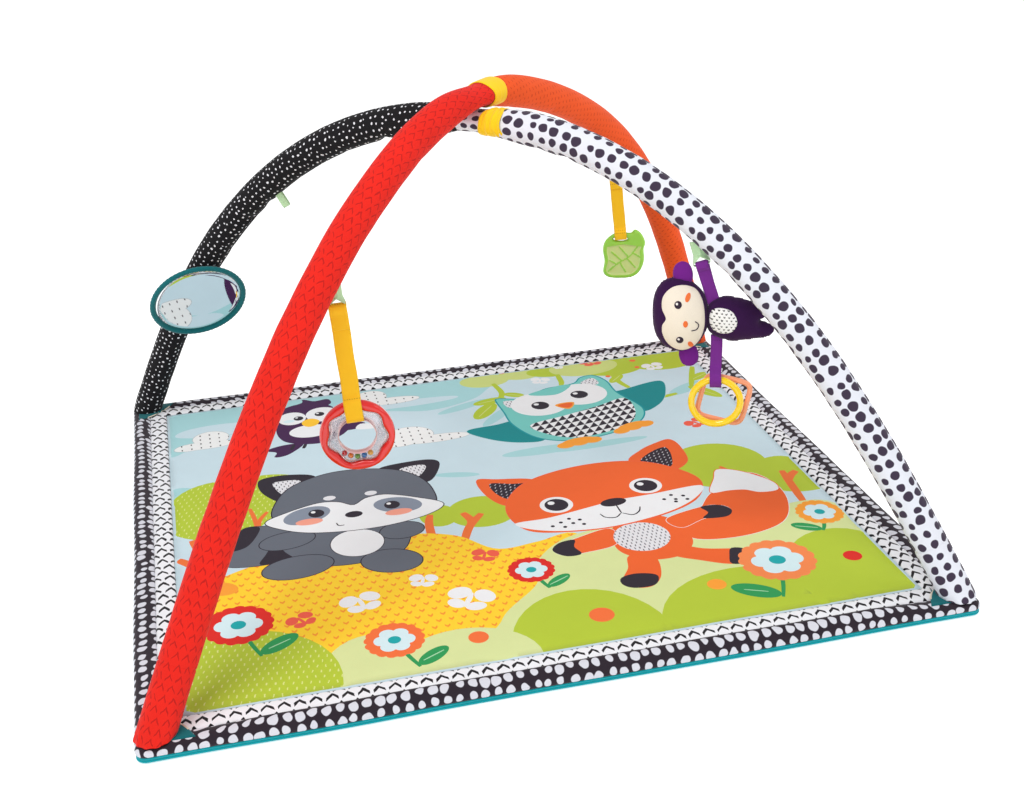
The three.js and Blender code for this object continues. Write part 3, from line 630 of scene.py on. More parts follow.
class GYM_OT_crossing_wrap(bpy.types.Operator):
    """The yellow band sewn round the crossing, gathered between the arches."""

    bl_idname = "gym.crossing_wrap"
    bl_label = "Crossing wrap"

    def execute(self, context):
        """Each half is an open arc round its arch. Its width and folds change towards the gather."""
        colours = context.scene.play_gym_colours
        yellow = fabric("yellow stretch jersey", colours.yellow, thread=1.1, mottle=0.05)
        self.half("wrap_over_crossing", "red", 1, (28, 22), 24, yellow, "upper_wrap")
        self.half("wrap_under_crossing", "black", -1, (34, 20), 28, yellow, "lower_wrap")
        return {"FINISHED"}

    def half(self, name, leg, side, widths, slip, cloth, node_name):
        """A point at angle t from the far side of the arch and share w across the band, slipped along the arch.

        Where the other arch lies against this one, its own round side flattens the band."""
        sizes = bpy.context.scene.play_gym
        line, across, _, _ = leg_line(leg, 300)
        axis = np.cross(across, (0, 0, 1)) * (-1 if LEGS[leg]["foot"][0] * np.cross(across, (0, 0, 1))[0] > 0 else 1)
        axis = axis * np.sign(axis[0])
        middle = np.array([0, 0, line[-1][2]]) + axis * slip * MM
        turn = np.radians(np.linspace(-179, 179, 130))
        t, w = np.meshgrid(turn, np.linspace(-1, 1, 41), indexing="ij")
        gather = (np.abs(t) / math.pi) ** 2.0
        width = (widths[0] * (1 - gather) + widths[1] * gather) * MM
        folds = 1.5 * np.sin(10 * w + 2.0 + 1.2 * np.abs(t)) + 1.0 * np.sin(17 * w + 0.5 - 1.5 * np.abs(t))
        folds *= np.clip(np.abs(t) / 1.6, 0.35, 1) * (0.9 if side < 0 else 0.12)
        hem = 0.35 * np.exp(-((np.abs(w) - 0.86) / 0.06) ** 2) - 0.8 * np.abs(w) ** 14
        radius = sizes.sleeve + MM * (1.2 + 0.5 * (1 - w ** 2) + folds * 0.6 + hem)
        tall = 0.74 + 0.03 * w
        points = middle + radius[..., None] * (np.sin(t)[..., None] * across + (side * tall * np.cos(t))[..., None] * np.array([0, 0, 1.0]))
        points = points + (w * width / 2 + 1.2 * MM * np.sin(3 * t) * w)[..., None] * axis
        other, other_side, _, _ = leg_line("black" if side > 0 else "red", 300)
        away = np.abs(points @ other_side) / sizes.sleeve
        bulge = 0.67 * sizes.sleeve * np.sqrt(np.clip(1 - away ** 2, 0, 1))
        limit = other[-1][2] + side * (bulge + 0.9 * MM)
        pressed = np.where(away < 1, np.maximum(side * points[..., 2], side * limit), side * points[..., 2])
        points[..., 2] = side * pressed
        piece = skin(name, points, cloth, uv=(turn * 0.02, np.linspace(-1, 1, 41) * 0.017), outward=False)
        thicken(piece, 0.8 * MM)
        settle(piece, ARCH[leg], [node_name])


# The print


def oval(x, y, rx, ry, turn=0.0, count=36):
    """An ellipse, turned anticlockwise by radians."""
    t = np.linspace(0, TAU, count, endpoint=False)
    a, b = rx * np.cos(t), ry * np.sin(t)
    return np.column_stack([x + a * math.cos(turn) - b * math.sin(turn), y + a * math.sin(turn) + b * math.cos(turn)])


def blob(*points, pitch=4.0):
    """A smooth closed outline through a few points."""
    rough = np.asarray(points, float)
    length = along(np.concatenate([rough, rough[:1]]))[-1]
    return smooth_line(rough, max(16, int(length / pitch)), closed=True)


def grown(outline, by):
    """An outline moved outwards along its own normals."""
    step = np.roll(outline, -1, 0) - np.roll(outline, 1, 0)
    normal = np.column_stack([step[:, 1], -step[:, 0]]) / np.linalg.norm(step, axis=1)[:, None]
    turning = np.sum(outline[:, 0] * np.roll(outline[:, 1], -1) - outline[:, 1] * np.roll(outline[:, 0], -1))
    return outline + normal * by * (1 if turning > 0 else -1)


def stroke(*points, width=2.0):
    """A thin line drawn through points, as a closed outline."""
    line = smooth_line(points, 14) if len(points) > 2 else smooth_line(points, 6)
    step = np.gradient(line, axis=0)
    normal = np.column_stack([-step[:, 1], step[:, 0]]) / np.linalg.norm(step, axis=1)[:, None]
    taper = (width / 2 * np.sqrt(1 - np.linspace(-0.92, 0.92, len(line)) ** 2) ** 0.4)[:, None]
    return np.concatenate([line + normal * taper, (line - normal * taper)[::-1]])


def edged(ink_name, line_ink, outline, width=2.0, pattern=None):
    """A shape with a line of another ink round it."""
    return [(line_ink, grown(outline, width), None), (ink_name, outline, pattern)]


def flower(x, y, radius, ink_name, stem=(8, -40)):
    """A scalloped flower with six pale petals, a teal eye, a stem and a leaf."""
    t = np.linspace(0, TAU, 96, endpoint=False)
    rim = radius * (0.93 + 0.1 * np.sqrt(np.abs(np.cos(8.5 * t))))
    petals = radius * (0.5 + 0.2 * np.sqrt(np.abs(np.cos(3 * t + 0.3))))
    foot = (x + stem[0], y + stem[1] * radius / 30 - radius * 0.5)
    leaf_at = (foot[0] + math.copysign(18, stem[0]) * radius / 34, foot[1] + 16 * radius / 34)
    return [
        ("green", stroke((x, y), ((x + foot[0]) / 2, y - radius), foot, width=5), None),
        ("green", oval(*leaf_at, 22 * radius / 34, 10 * radius / 34, math.copysign(0.6, stem[0])), None),
        ("mint", stroke((leaf_at[0] - 12, leaf_at[1] - 6 * math.copysign(1, stem[0])), (leaf_at[0] + 12, leaf_at[1] + 6 * math.copysign(1, stem[0])), width=1.6), None),
        (ink_name, np.column_stack([x + rim * np.cos(t), y + rim * np.sin(t)]), None),
        ("petal", np.column_stack([x + petals * np.cos(t), y + petals * np.sin(t)]), None),
        ("eye_teal", oval(x, y, radius * 0.22, radius * 0.22), None),
    ]


def butterfly(x, y, size, ink_name, turn=0.3):
    """Four wings and a body."""
    wings = [(-0.5, 0.42, 0.5, 0.42, 0.7), (0.55, 0.42, 0.5, 0.4, -0.7), (-0.4, -0.35, 0.4, 0.3, -0.4), (0.42, -0.38, 0.42, 0.3, 0.4), (0, 0, 0.12, 0.55, 0)]
    c, s = math.cos(turn), math.sin(turn)
    return [(ink_name, oval(x + size * (a * c - b * s), y + size * (a * s + b * c), size * ra, size * rb, tilt + turn, 20), None) for a, b, ra, rb, tilt in wings]


def eye(x, y, white, dark):
    """A round eye with a highlight."""
    shapes = [("white", oval(x, y, white, white), None)] if white else []
    return shapes + [("dark", oval(x, y, dark, dark * 1.05, count=24), None), ("white", oval(x - dark * 0.35, y + dark * 0.42, dark * 0.3, dark * 0.3, count=12), None)]


def landscape():
    """Sky, clouds, trees and hills, from the back forwards."""
    art = [
        ("aqua", blob((-402, 372), (-402, 235), (-370, 240), (-300, 275), (-200, 268), (-110, 285), (-30, 265), (40, 285), (90, 330), (200, 350), (270, 330), (330, 372), (0, 390), pitch=8), None),
        ("sky", oval(-330, 292, 62, 20), None),
        ("sky", oval(-60, 300, 80, 12), None),
        ("aqua", oval(95, 88, 60, 12), None), ("aqua", oval(170, 82, 70, 9, 0.03), None), ("aqua", oval(20, 262, 44, 9, 0.35), None),
        ("aqua", oval(-35, 52, 30, 7, -0.25), None), ("aqua", oval(-395, 108, 26, 20), None), ("aqua", oval(350, 225, 36, 12, 0.5), None), ("aqua", oval(60, 215, 40, 9, 0.8), None),
    ]
    clouds = [
        [oval(-343, 268, 25, 22), oval(-352, 247, 42, 12), oval(-372, 246, 22, 11)],
        [oval(-104, 340, 22, 24), oval(-80, 317, 44, 12), oval(-108, 322, 26, 16)],
        [oval(-74, 190, 34, 28), oval(-40, 170, 48, 12), oval(-92, 174, 30, 15)],
    ]
    for cloud in clouds:
        art += [("grey_line", grown(part, 0.9), None) for part in cloud] + [("cloud", part, "dashes") for part in cloud]
    art += [("pale_olive", oval(70, 346, 38, 26), None), ("pale_olive", oval(128, 356, 34, 24), None), ("olive", oval(182, 352, 44, 24), None)]
    art += [("olive", oval(270, 340, 52, 38), None), ("pale_olive", oval(228, 350, 54, 34), None), ("olive", oval(352, 340, 58, 40), None)]
    for trunk in [((80, 330), (84, 290), (70, 262)), ((182, 335), (180, 305), (176, 292)), ((262, 320), (262, 280), (270, 250)), ((388, 300), (372, 260), (360, 230)), ((330, 210), (300, 205), (272, 214))]:
        art.append(("olive", stroke(*trunk, width=9), None))
    for x, y, a, b, turn in [(46, 236, 30, 13, 0.9), (60, 268, 26, 10, 0.2), (100, 280, 16, 8, -0.5), (262, 290, 18, 8, 0.8), (372, 205, 30, 11, -1.0), (385, 262, 24, 9, 0.6)]:
        art += [("olive", oval(x, y, a, b, turn), None), ("pale_olive", stroke((x - a * 0.7 * math.cos(turn), y - a * 0.7 * math.sin(turn)), (x + a * 0.7 * math.cos(turn), y + a * 0.7 * math.sin(turn)), width=1.6), None)]
    art += butterfly(245, 364, 18, "coral", 0.2) + butterfly(320, 105, 17, "coral", 0.5)
    art += butterfly(150, 318, 15, "white", -0.3) + butterfly(330, 316, 17, "white", 0.1) + butterfly(192, 362, 8, "white", 0.0)
    art += [("orange_dot", oval(x, y, r, r, count=18), None) for x, y, r in [(308, 350, 5), (345, 374, 6), (253, 302, 4), (306, 322, 4), (103, 371, 5), (330, 374, 4)]]
    art += [("olive", oval(-342, 50, 72, 80), "flecks"), ("olive", oval(-290, 92, 62, 38), "flecks")]
    art += [("olive", oval(-26, -55, 44, 40), None), ("olive", oval(-80, -50, 24, 28), None), ("olive", oval(300, -25, 66, 64), None), ("olive", oval(380, -75, 52, 52), None), ("olive", oval(345, -60, 34, 40), None)]
    for trunk in [((-306, 40), (-302, 10), (-300, -30)), ((-285, 25), (-296, 5), (-300, -20)), ((-380, -20), (-372, -60), (-376, -110)), ((-398, -60), (-380, -85), (-376, -100)),
                  ((-90, -45), (-96, -70), (-100, -130)), ((-28, -60), (-50, -90), (-66, -130)), ((-50, -52), (-44, -74), (-50, -92)), ((372, -65), (368, -100), (362, -155)), ((390, -70), (378, -80), (368, -95)), ((300, -30), (305, -42), (310, -60))]:
        art.append(("trunk", stroke(*trunk, width=11 if trunk[-1][1] < -90 else 6), None))
    art += [("yellow_hill", blob((-402, -150), (-350, -120), (-300, -100), (-220, -86), (-130, -84), (-70, -105), (-30, -150), (20, -148), (70, -142), (90, -220), (0, -300), (-90, -330), (-300, -330), (-402, -250), pitch=8), "hearts")]
    art += [("light_green", blob((-5, -240), (10, -190), (60, -148), (140, -140), (260, -160), (402, -165), (402, -372), (-60, -372), (-60, -300), pitch=8), None)]
    art += [("amber", oval(-352, -145, 20, 14, -0.4), None)]
    art += [("olive", oval(25, -372, 88, 108), None), ("olive", oval(215, -372, 112, 100), None), ("olive", oval(356, -318, 80, 96), None)]
    art += [("light_green", oval(-205, -372, 62, 86), None), ("olive", oval(-352, -346, 112, 108), "flecks"), ("light_green", oval(-112, -372, 80, 68), None)]
    art += [("orange_dot", oval(46, -322, 14, 14), None), ("orange_dot", oval(-92, -325, 11, 11), None), ("amber", oval(188, -300, 11, 11), None), ("red_dot", oval(360, -288, 11, 11), None)]
    return art


def grey_cub():
    """A sitting grey cub with a striped tail."""
    art = edged("grey", "dark", blob((-250, -20), (-290, -12), (-318, -12), (-332, -50), (-344, -92), (-320, -104), (-280, -104), (-240, -96)), 1.2)
    art += [("dark", blob((-318, -12), (-330, -40), (-338, -62), (-318, -58), (-304, -36), (-298, -12)), None), ("dark", blob((-284, -60), (-262, -66), (-270, -100), (-304, -104), (-296, -82)), None)]
    for part in [blob((-272, -60), (-260, -105), (-230, -128), (-190, -134), (-150, -128), (-128, -105), (-125, -60), (-190, -30), pitch=5), oval(-262, -122, 42, 25, 0.1), oval(-154, -140, 36, 26, -0.3), oval(-268, -56, 34, 20, 0.15), oval(-130, -72, 27, 20, 0.05)]:
        art += edged("grey", "dark", part, 1.3)
    art += edged("white", "dark", oval(-187, -86, 32, 32), 1.0)
    art += [("dark", blob((-291, 100), (-284, 118), (-250, 120), (-215, 104), (-225, 60), (-262, 44), (-284, 70)), None), ("dark", blob((-128, 104), (-80, 110), (-54, 104), (-52, 84), (-72, 46), (-100, 50), (-130, 80)), None)]
    art += [("pale_grey", blob((-272, 98), (-262, 104), (-236, 98), (-244, 68), (-262, 66)), "speckle"), ("pale_grey", blob((-104, 92), (-76, 96), (-70, 86), (-86, 62), (-104, 68)), "speckle")]
    art += edged("grey", "dark", blob((-278, 0), (-274, 40), (-250, 82), (-205, 106), (-160, 108), (-112, 92), (-84, 60), (-74, 20), (-80, -20), (-120, -44), (-180, -52), (-245, -38), pitch=5), 1.6)
    art += edged("white", "dark", blob((-290, -4), (-262, 14), (-222, 28), (-196, 24), (-178, 10), (-160, 24), (-134, 26), (-98, 6), (-68, -20), (-92, -42), (-140, -54), (-190, -54), (-240, -44), (-272, -26), pitch=5), 1.4)
    art += [("grey_blue", oval(-238, 0, 31, 20, 0.35), None), ("grey_blue", oval(-124, -6, 31, 20, -0.35), None)]
    art += eye(-226, 2, 0, 10) + eye(-131, -4, 0, 10)
    art += [("peach", oval(-237, -17, 17, 8), None), ("peach", oval(-126, -25, 17, 8), None), ("dark", oval(-181, -14, 11, 8), None)]
    art += [("dark", stroke((-205, -30), (-203, -37), (-196, -38), width=1.8), None), ("pale_grey", oval(-205, 38, 8, 6), None), ("pale_grey", oval(-152, 36, 8, 6), None)]
    return art


def orange_cub():
    """A running orange cub with dark paws and a white-tipped tail."""
    art = edged("fox", "white", blob((200, -196), (260, -208), (318, -190), (346, -140), (347, -88), (322, -56), (262, -96), (232, -132), (200, -150), pitch=6), 0.8)
    art += edged("white", "fox", blob((262, -94), (280, -60), (294, -37), (322, -52), (347, -88), (346, -112), (322, -112), (306, -100), (286, -96)), 1.2)
    art += [("fox", blob((112, -150), (106, -195), (125, -222), (150, -231), (178, -226), (198, -200), (196, -160), (180, -132), (140, -130)), None)]
    art += edged("fox", "white", blob((112, -144), (62, -156), (40, -164), (33, -176), (44, -190), (64, -190), (108, -182)), 0.7)
    art += edged("fox", "white", blob((186, -142), (238, -126), (262, -130), (269, -144), (258, -157), (230, -155), (196, -168)), 0.7)
    art += [("fox", blob((114, -212), (142, -222), (136, -262), (118, -283), (96, -279), (90, -262), (104, -238)), None), ("fox", blob((176, -205), (204, -222), (246, -236), (250, -250), (238, -265), (218, -263), (190, -246), (164, -226)), None)]
    art += [("dark", blob((64, -157), (44, -159), (32, -174), (44, -191), (63, -191), (59, -173)), None), ("dark", blob((236, -126), (260, -128), (270, -144), (258, -158), (229, -154), (240, -142)), None)]
    art += [("dark", blob((90, -256), (110, -252), (131, -262), (122, -281), (98, -281), (87, -270)), None), ("dark", blob((234, -230), (248, -236), (247, -252), (238, -266), (221, -263), (226, -244)), None)]
    art += [("pale_grey", oval(143, -174, 34, 34), "speckle")]
    art += edged("fox", "coral", blob((-14, 28), (10, 24), (60, 4), (30, -50), (4, -48), (-12, -14), pitch=3), 0.6) + [("dark", blob((0, 14), (26, 6), (50, -3), (18, -34), (2, -16)), "glints")]
    art += edged("fox", "coral", blob((266, 67), (272, 40), (264, -5), (225, -24), (192, 18), (216, 46), (244, 62), pitch=3), 0.6) + [("dark", blob((252, 46), (250, 14), (236, -12), (206, 12), (226, 36)), "glints")]
    art += edged("fox", "coral", blob((3, -80), (10, -40), (40, 0), (90, 22), (150, 28), (205, 16), (244, -18), (262, -60), (240, -104), (190, -130), (120, -142), (60, -136), (18, -120), pitch=6), 0.8)
    art += [("white", blob((6, -98), (50, -96), (110, -84), (140, -78), (190, -76), (258, -72), (236, -104), (188, -128), (120, -140), (62, -134), (22, -118), pitch=5), None)]
    art += eye(67, -67, 21, 15) + eye(190, -52, 21, 15) + [("dark", oval(137, -82, 17, 10, 0.1), None)]
    art += [("dark", stroke((138, -90), (138, -112), width=2), None), ("dark", stroke((112, -106), (116, -116), (128, -120), (137, -112), width=2), None), ("dark", stroke((139, -112), (150, -120), (160, -114), (165, -103), width=2), None)]
    return art + [("dark", oval(x, y, 2.6, 2.6, count=10), None) for x, y in [(48, -118), (60, -112), (72, -106), (62, -124), (74, -118), (84, -112), (86, -124), (200, -94), (212, -86), (214, -98), (226, -92), (212, -104), (228, -102)]]


def teal_owl():
    """A teal owl with open wings, a little tilted."""
    art = edged("deep", "aqua", blob((6, 178), (50, 186), (95, 190), (105, 122), (70, 120), (32, 142)), 0.6) + edged("deep", "aqua", blob((322, 262), (262, 248), (240, 235), (258, 168), (290, 180), (314, 216)), 0.6)
    art += edged("owl", "teal_line", blob((70, 262), (74, 272), (110, 262), (150, 286), (195, 292), (212, 310), (232, 312), (244, 285), (246, 240), (264, 175), (240, 130), (185, 108), (135, 106), (95, 130), (74, 180), (72, 225), pitch=5), 2.4)
    art += [("pale_grey", blob((80, 262), (100, 256), (84, 236), (78, 248)), "speckle"), ("pale_grey", blob((206, 292), (228, 304), (232, 282), (218, 278)), "speckle")]
    art += [("white", oval(127, 236, 42, 40, 0.15), None), ("white", oval(194, 252, 40, 38, 0.15), None), ("owl", blob((120, 274), (170, 292), (190, 288), (160, 262)), None)]
    art += eye(127, 231, 0, 13) + eye(192, 251, 0, 13)
    art += [("amber", blob((147, 224), (162, 230), (177, 226), (164, 206)), None), ("fox", blob((151, 222), (163, 227), (174, 224), (164, 210)), None)]
    art += [("white", blob((96, 170), (150, 186), (204, 202), (251, 218), (252, 170), (230, 132), (185, 114), (145, 112), (112, 134), pitch=5), "wedges")]
    for x, y, turn in [(146, 98, 0.12), (232, 122, 0.3)]:
        art += [("amber", oval(x + dx * math.cos(turn), y + dx * math.sin(turn) - 3, 13, 9, turn), None) for dx in (-20, 0, 20)] + [("amber", oval(x, y + 3, 24, 9, turn), None)]
    return art


def purple_bird():
    """A small purple bird that looks back over its wing."""
    art = [("purple", blob((-222, 212), (-250, 212), (-272, 202), (-258, 192), (-262, 178), (-244, 180), (-222, 202)), None), ("dark", stroke((-232, 210), (-238, 194), width=5), None), ("dark", stroke((-216, 208), (-221, 194), width=5), None)]
    art += [("purple", blob((-252, 262), (-244, 224), (-215, 206), (-186, 206), (-158, 228), (-148, 258), (-160, 300), (-200, 322), (-240, 304)), None), ("purple", oval(-205, 306, 44, 42), None)]
    art += [("purple", blob((-222, 340), (-206, 352), (-204, 366), (-188, 352), (-168, 354), (-166, 334), (-190, 326)), None)]
    art += [("white", oval(-226, 298, 20, 22, -0.2), None), ("white", oval(-182, 300, 24, 25), None), ("white", oval(-205, 248, 30, 21), None), ("petal", oval(-231, 290, 8, 5), None)]
    art += eye(-217, 296, 0, 7) + eye(-186, 302, 0, 7) + [("yellow", blob((-212, 284), (-200, 290), (-189, 280), (-194, 266), (-206, 262), (-214, 272)), None)]
    return art + [("purple", blob((-170, 256), (-148, 262), (-128, 254), (-130, 240), (-152, 234), (-172, 240)), None), ("white", blob((-134, 250), (-116, 244), (-118, 230), (-142, 234)), None)]


def garden():
    """Flowers and butterflies in front of everything else."""
    art = flower(-338, -226, 38, "red_dot", (20, -38)) + flower(-179, -304, 32, "orange_dot", (18, -36)) + flower(-3, -208, 27, "red_dot", (10, -34))
    art += flower(274, -271, 44, "coral_orange", (-26, -36)) + flower(370, -181, 29, "amber", (-16, -30))
    art += butterfly(-202, -222, 24, "white", 0.2) + butterfly(-128, -196, 17, "white", -0.3) + butterfly(-86, -250, 28, "white", -0.5)
    return art + butterfly(-48, -162, 17, "coral", -0.4) + butterfly(-270, -238, 17, "coral", 0.5)


PRINT_INKS = {
    "sky": "#CBE1EA", "aqua": "#A9D8DC", "cloud": "#F0F1F0", "grey_line": "#B9C0C4", "olive": "#B6CB38", "pale_olive": "#CDDA82",
    "light_green": "#D9E4A0", "yellow_hill": "#FFD32E", "yellow": "#FFC72E", "amber": "#FBA234", "orange_dot": "#F4733A", "red_dot": "#DE261D",
    "coral": "#EF5F48", "coral_orange": "#F68A4E", "trunk": "#EF7537", "fox": "#F0652A", "dark": "#2B2430", "white": "#EEF0F2", "grey": "#656B76",
    "pale_grey": "#E4E4E8", "grey_blue": "#8690A0", "peach": "#F4A18C", "purple": "#42194C", "owl": "#77CCC4", "teal_line": "#179AA2", "deep": "#078A8E",
    "petal": "#D6EEF3", "eye_teal": "#12A7AB", "green": "#2B9A55", "mint": "#A9DDB0",
}
PATTERNS = {
    "hearts": ("#F6962F", lambda tree, place: strokes(tree, place, (14.0, 12.5), 3.0, -3.4, 3.8, jitter=0.03)),
    "dashes": ("#2B2430", lambda tree, place: strokes(tree, place, (13.0, 13.0), 0.9, 0.0, 4.2, stagger=0.0, jitter=0.06)),
    "flecks": ("#DCE68C", lambda tree, place: strokes(tree, place, (9.0, 9.0), 0.7, 0.0, 4.5, turn=0.2, jitter=0.15)),
    "speckle": ("#56525C", lambda tree, place: strokes(tree, place, (6.0, 6.5), 0.65, 0.0, 4.0, jitter=0.15)),
    "glints": ("#C9C6CE", lambda tree, place: strokes(tree, place, (7.0, 7.0), 0.6, 0.0, 3.6, turn=0.6, jitter=0.2)),
    "wedges": ("#2B2430", lambda tree, place: wedges(tree, place, 14.0, -0.2)),
}


def wedges(tree, place, pitch, turn):
    """Rows of right-angled triangles, in millimetres: the share is 1 where a cell's height is under its breadth."""
    turned = node(tree, "Mapping", {"Vector": place, "Rotation": (0, 0, turn), "Scale": (1000 / pitch,) * 3})
    cell = node(tree, "VectorMath", {0: turned}, operation="FRACTION")
    apart = tree.nodes.new("ShaderNodeSeparateXYZ")
    tree.links.new(cell, apart.inputs[0])
    over = node(tree, "Math", {0: apart.outputs[0], 1: apart.outputs[1]}, operation="SUBTRACT")
    return node(tree, "MapRange", {"Value": over, "From Min": -0.03, "From Max": 0.03})


def inside(outline, points):
    """Which points lie inside an outline, by counting the edges that a ray to the right crosses."""
    low, high = outline.min(0), outline.max(0)
    near = np.flatnonzero(np.all((points >= low) & (points <= high), axis=1))
    hit = np.zeros(len(points), bool)
    if len(near):
        x, y = points[near, 0][:, None], points[near, 1][:, None]
        (ax, ay), (bx, by) = outline.T, np.roll(outline, -1, 0).T
        level = (ay <= y) != (by <= y)
        with np.errstate(divide="ignore", invalid="ignore"):
            crossing = ax + (y - ay) * (bx - ax) / (by - ay)
        hit[near] = np.sum(level & (crossing > x), axis=1) % 2 == 1
    return hit


def plane_mesh(outlines, pitch, low, high):
    """Triangles over a rectangle that follow every outline, with points about pitch apart between them."""
    corners, edges = [], []
    for outline in outlines:
        start, n = len(corners), len(outline)
        corners += [Vector(point) for point in outline]
        edges += [(start + i, start + (i + 1) % n) for i in range(n)]
    columns, rows = (int((b - a) / pitch) for a, b in zip(low, high))
    x, y = np.meshgrid(np.linspace(low[0], high[0], columns + 1), np.linspace(low[1], high[1], rows + 1))
    corners += [Vector(point) for point in np.column_stack([x.ravel(), y.ravel()])]
    points, _, faces, *_ = geometry.delaunay_2d_cdt(corners, edges, [], 0, 1e-3)
    return np.array([point[:] for point in points]), np.array([face for face in faces if len(face) == 3])


def solid_from_plane(points, faces, front, back):
    """Corners and faces of a closed solid: the plane mesh at two heights, joined round its open edges."""
    used, faces = np.unique(faces, return_inverse=True)
    faces = faces.reshape(-1, 3)
    edges = np.concatenate([faces[:, [0, 1]], faces[:, [1, 2]], faces[:, [2, 0]]])
    _, index, count = np.unique(np.sort(edges, 1), axis=0, return_index=True, return_counts=True)
    rim = edges[index[count == 1]]
    n = len(used)
    walls = np.column_stack([rim[:, 1], rim[:, 0], rim[:, 0] + n, rim[:, 1] + n])
    corners = np.concatenate([np.column_stack([points[used], front[used]]), np.column_stack([points[used], back[used]])])
    return corners, faces.tolist() + (faces[:, ::-1] + n).tolist() + walls.tolist(), len(faces)


class GYM_OT_play_panel(bpy.types.Operator):
    """The printed panel: a plane cut along every printed outline, each piece in its own ink."""

    bl_idname = "gym.play_panel"
    bl_label = "Play panel"

    def execute(self, context):
        """Faces take the ink of the topmost shape over their middle. Heights come from panel_height."""
        half = PANEL_HALF / MM - 0.2
        art = landscape() + purple_bird() + teal_owl() + grey_cub() + orange_cub() + garden()
        art = [(name, np.clip(outline, -half, half), pattern) for name, outline, pattern in art]
        points, faces = plane_mesh([outline for _, outline, _ in art], 12.0, -half, half)
        middles = points[faces].mean(1)
        top = np.full(len(faces), -1)
        for number, (_, outline, _) in enumerate(art):
            top[inside(outline, middles)] = number
        names = list(PRINT_INKS)
        kinds = [None, *PATTERNS]
        inks = np.array([names.index(name) for name, _, _ in art] + [names.index("sky")])[top]
        slots = np.array([kinds.index(pattern) for _, _, pattern in art] + [0])[top]
        x, y = points.T * MM
        corners, solid, fronts = solid_from_plane(points * MM, faces, panel_height(x, y), np.full(len(points), PANEL_TOP - 2.4 * MM))
        mesh = bpy.data.meshes.new("play_panel_print")
        mesh.from_pydata(corners, [], solid)
        rest = len(solid) - fronts
        mesh.polygons.foreach_set("material_index", np.concatenate([slots, np.zeros(rest, int)]).astype(np.int32))
        layer = mesh.attributes.new("ink", "FLOAT_COLOR", "FACE")
        table = np.array([linear(PRINT_INKS[name]) for name in names])
        colours = np.concatenate([table[inks], np.repeat(table[names.index("sky")][None], rest, 0)])
        layer.data.foreach_set("color", colours.astype(np.float32).ravel())
        cloths = [material("printed cotton" + (f" with {kind}" if kind else ""), self.shader(kind)) for kind in kinds]
        panel = bpy.data.objects.new("play_panel_print", mesh)
        context.scene.collection.objects.link(panel)
        for cloth in cloths:
            mesh.materials.append(cloth)
        mesh.shade_smooth()
        settle(panel, "mat", ["mat_panel"])
        return {"FINISHED"}

    def shader(self, kind):
        """Fine woven cotton, printed: matt, with a weave that only shows close up."""
        def build(tree):
            place = place_of(tree, False)
            colour = node(tree, "Attribute", attribute_name="ink")
            if kind:
                second, marks = PATTERNS[kind]
                colour = two_inks(tree, marks(tree, place), colour, linear(second))
            return cloth_shader(tree, colour, place, thread=0.7, depth=0.12, roughness=0.7, sheen=0.05, mottle=0.03)
        return build


# What hangs from the arches

HANGERS = {"red": ("rattle_swing", -6.2), "orange": ("leaf_swing", -18.0), "white": ("monkey_swing", -22.0), "black": (None, -20.0)}


def hang(name):
    """Turns a hanger's own millimetres (x across its strap, y to the back, z up) to places in the world."""
    joint, yaw = HANGERS[name]
    low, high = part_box("black_loop")
    spare = [(low[0] + high[0]) / 2, (low[1] + high[1]) / 2, low[2] + 0.8 * MM]
    pivot = np.array(JOINTS[joint]["pos_m"] if joint else spare)
    c, s = math.cos(math.radians(yaw)), math.sin(math.radians(yaw))
    turn = np.array([[c, s, 0], [-s, c, 0], [0, 0, 1]])
    return lambda points: pivot + np.asarray(points, float) * MM @ turn


def leaned(points, angle):
    """Leans a hanger's points to the right as they go down, by an angle in radians."""
    points = np.asarray(points, float)
    x, y, z = points[..., 0], points[..., 1], points[..., 2]
    return np.stack([x * math.cos(angle) - z * math.sin(angle), y, x * math.sin(angle) + z * math.cos(angle)], -1)


def strap(name, path, width, cloth, place, thickness=1.1, count=150, curl=0.25):
    """A woven strap: a path of depths and heights, in millimetres, carried across the strap's width."""
    line = smooth_line(path, count)
    across = np.linspace(-1, 1, 9)
    u = along(line)
    x = np.broadcast_to(across[None] * width / 2, (count, 9)) + 0.25 * np.sin(u / 9)[:, None]
    y = line[:, :1] + curl * across[None] ** 2 * np.sin(u / 14)[:, None]
    z = np.broadcast_to(line[:, 1:], (count, 9))
    points = place(np.stack([x, y, z], -1))
    piece = skin(name, points, cloth, uv=(u * MM, across * width / 2 * MM), outward=False)
    thicken(piece, thickness * MM)
    return piece, (u[-1] * MM, width * MM)


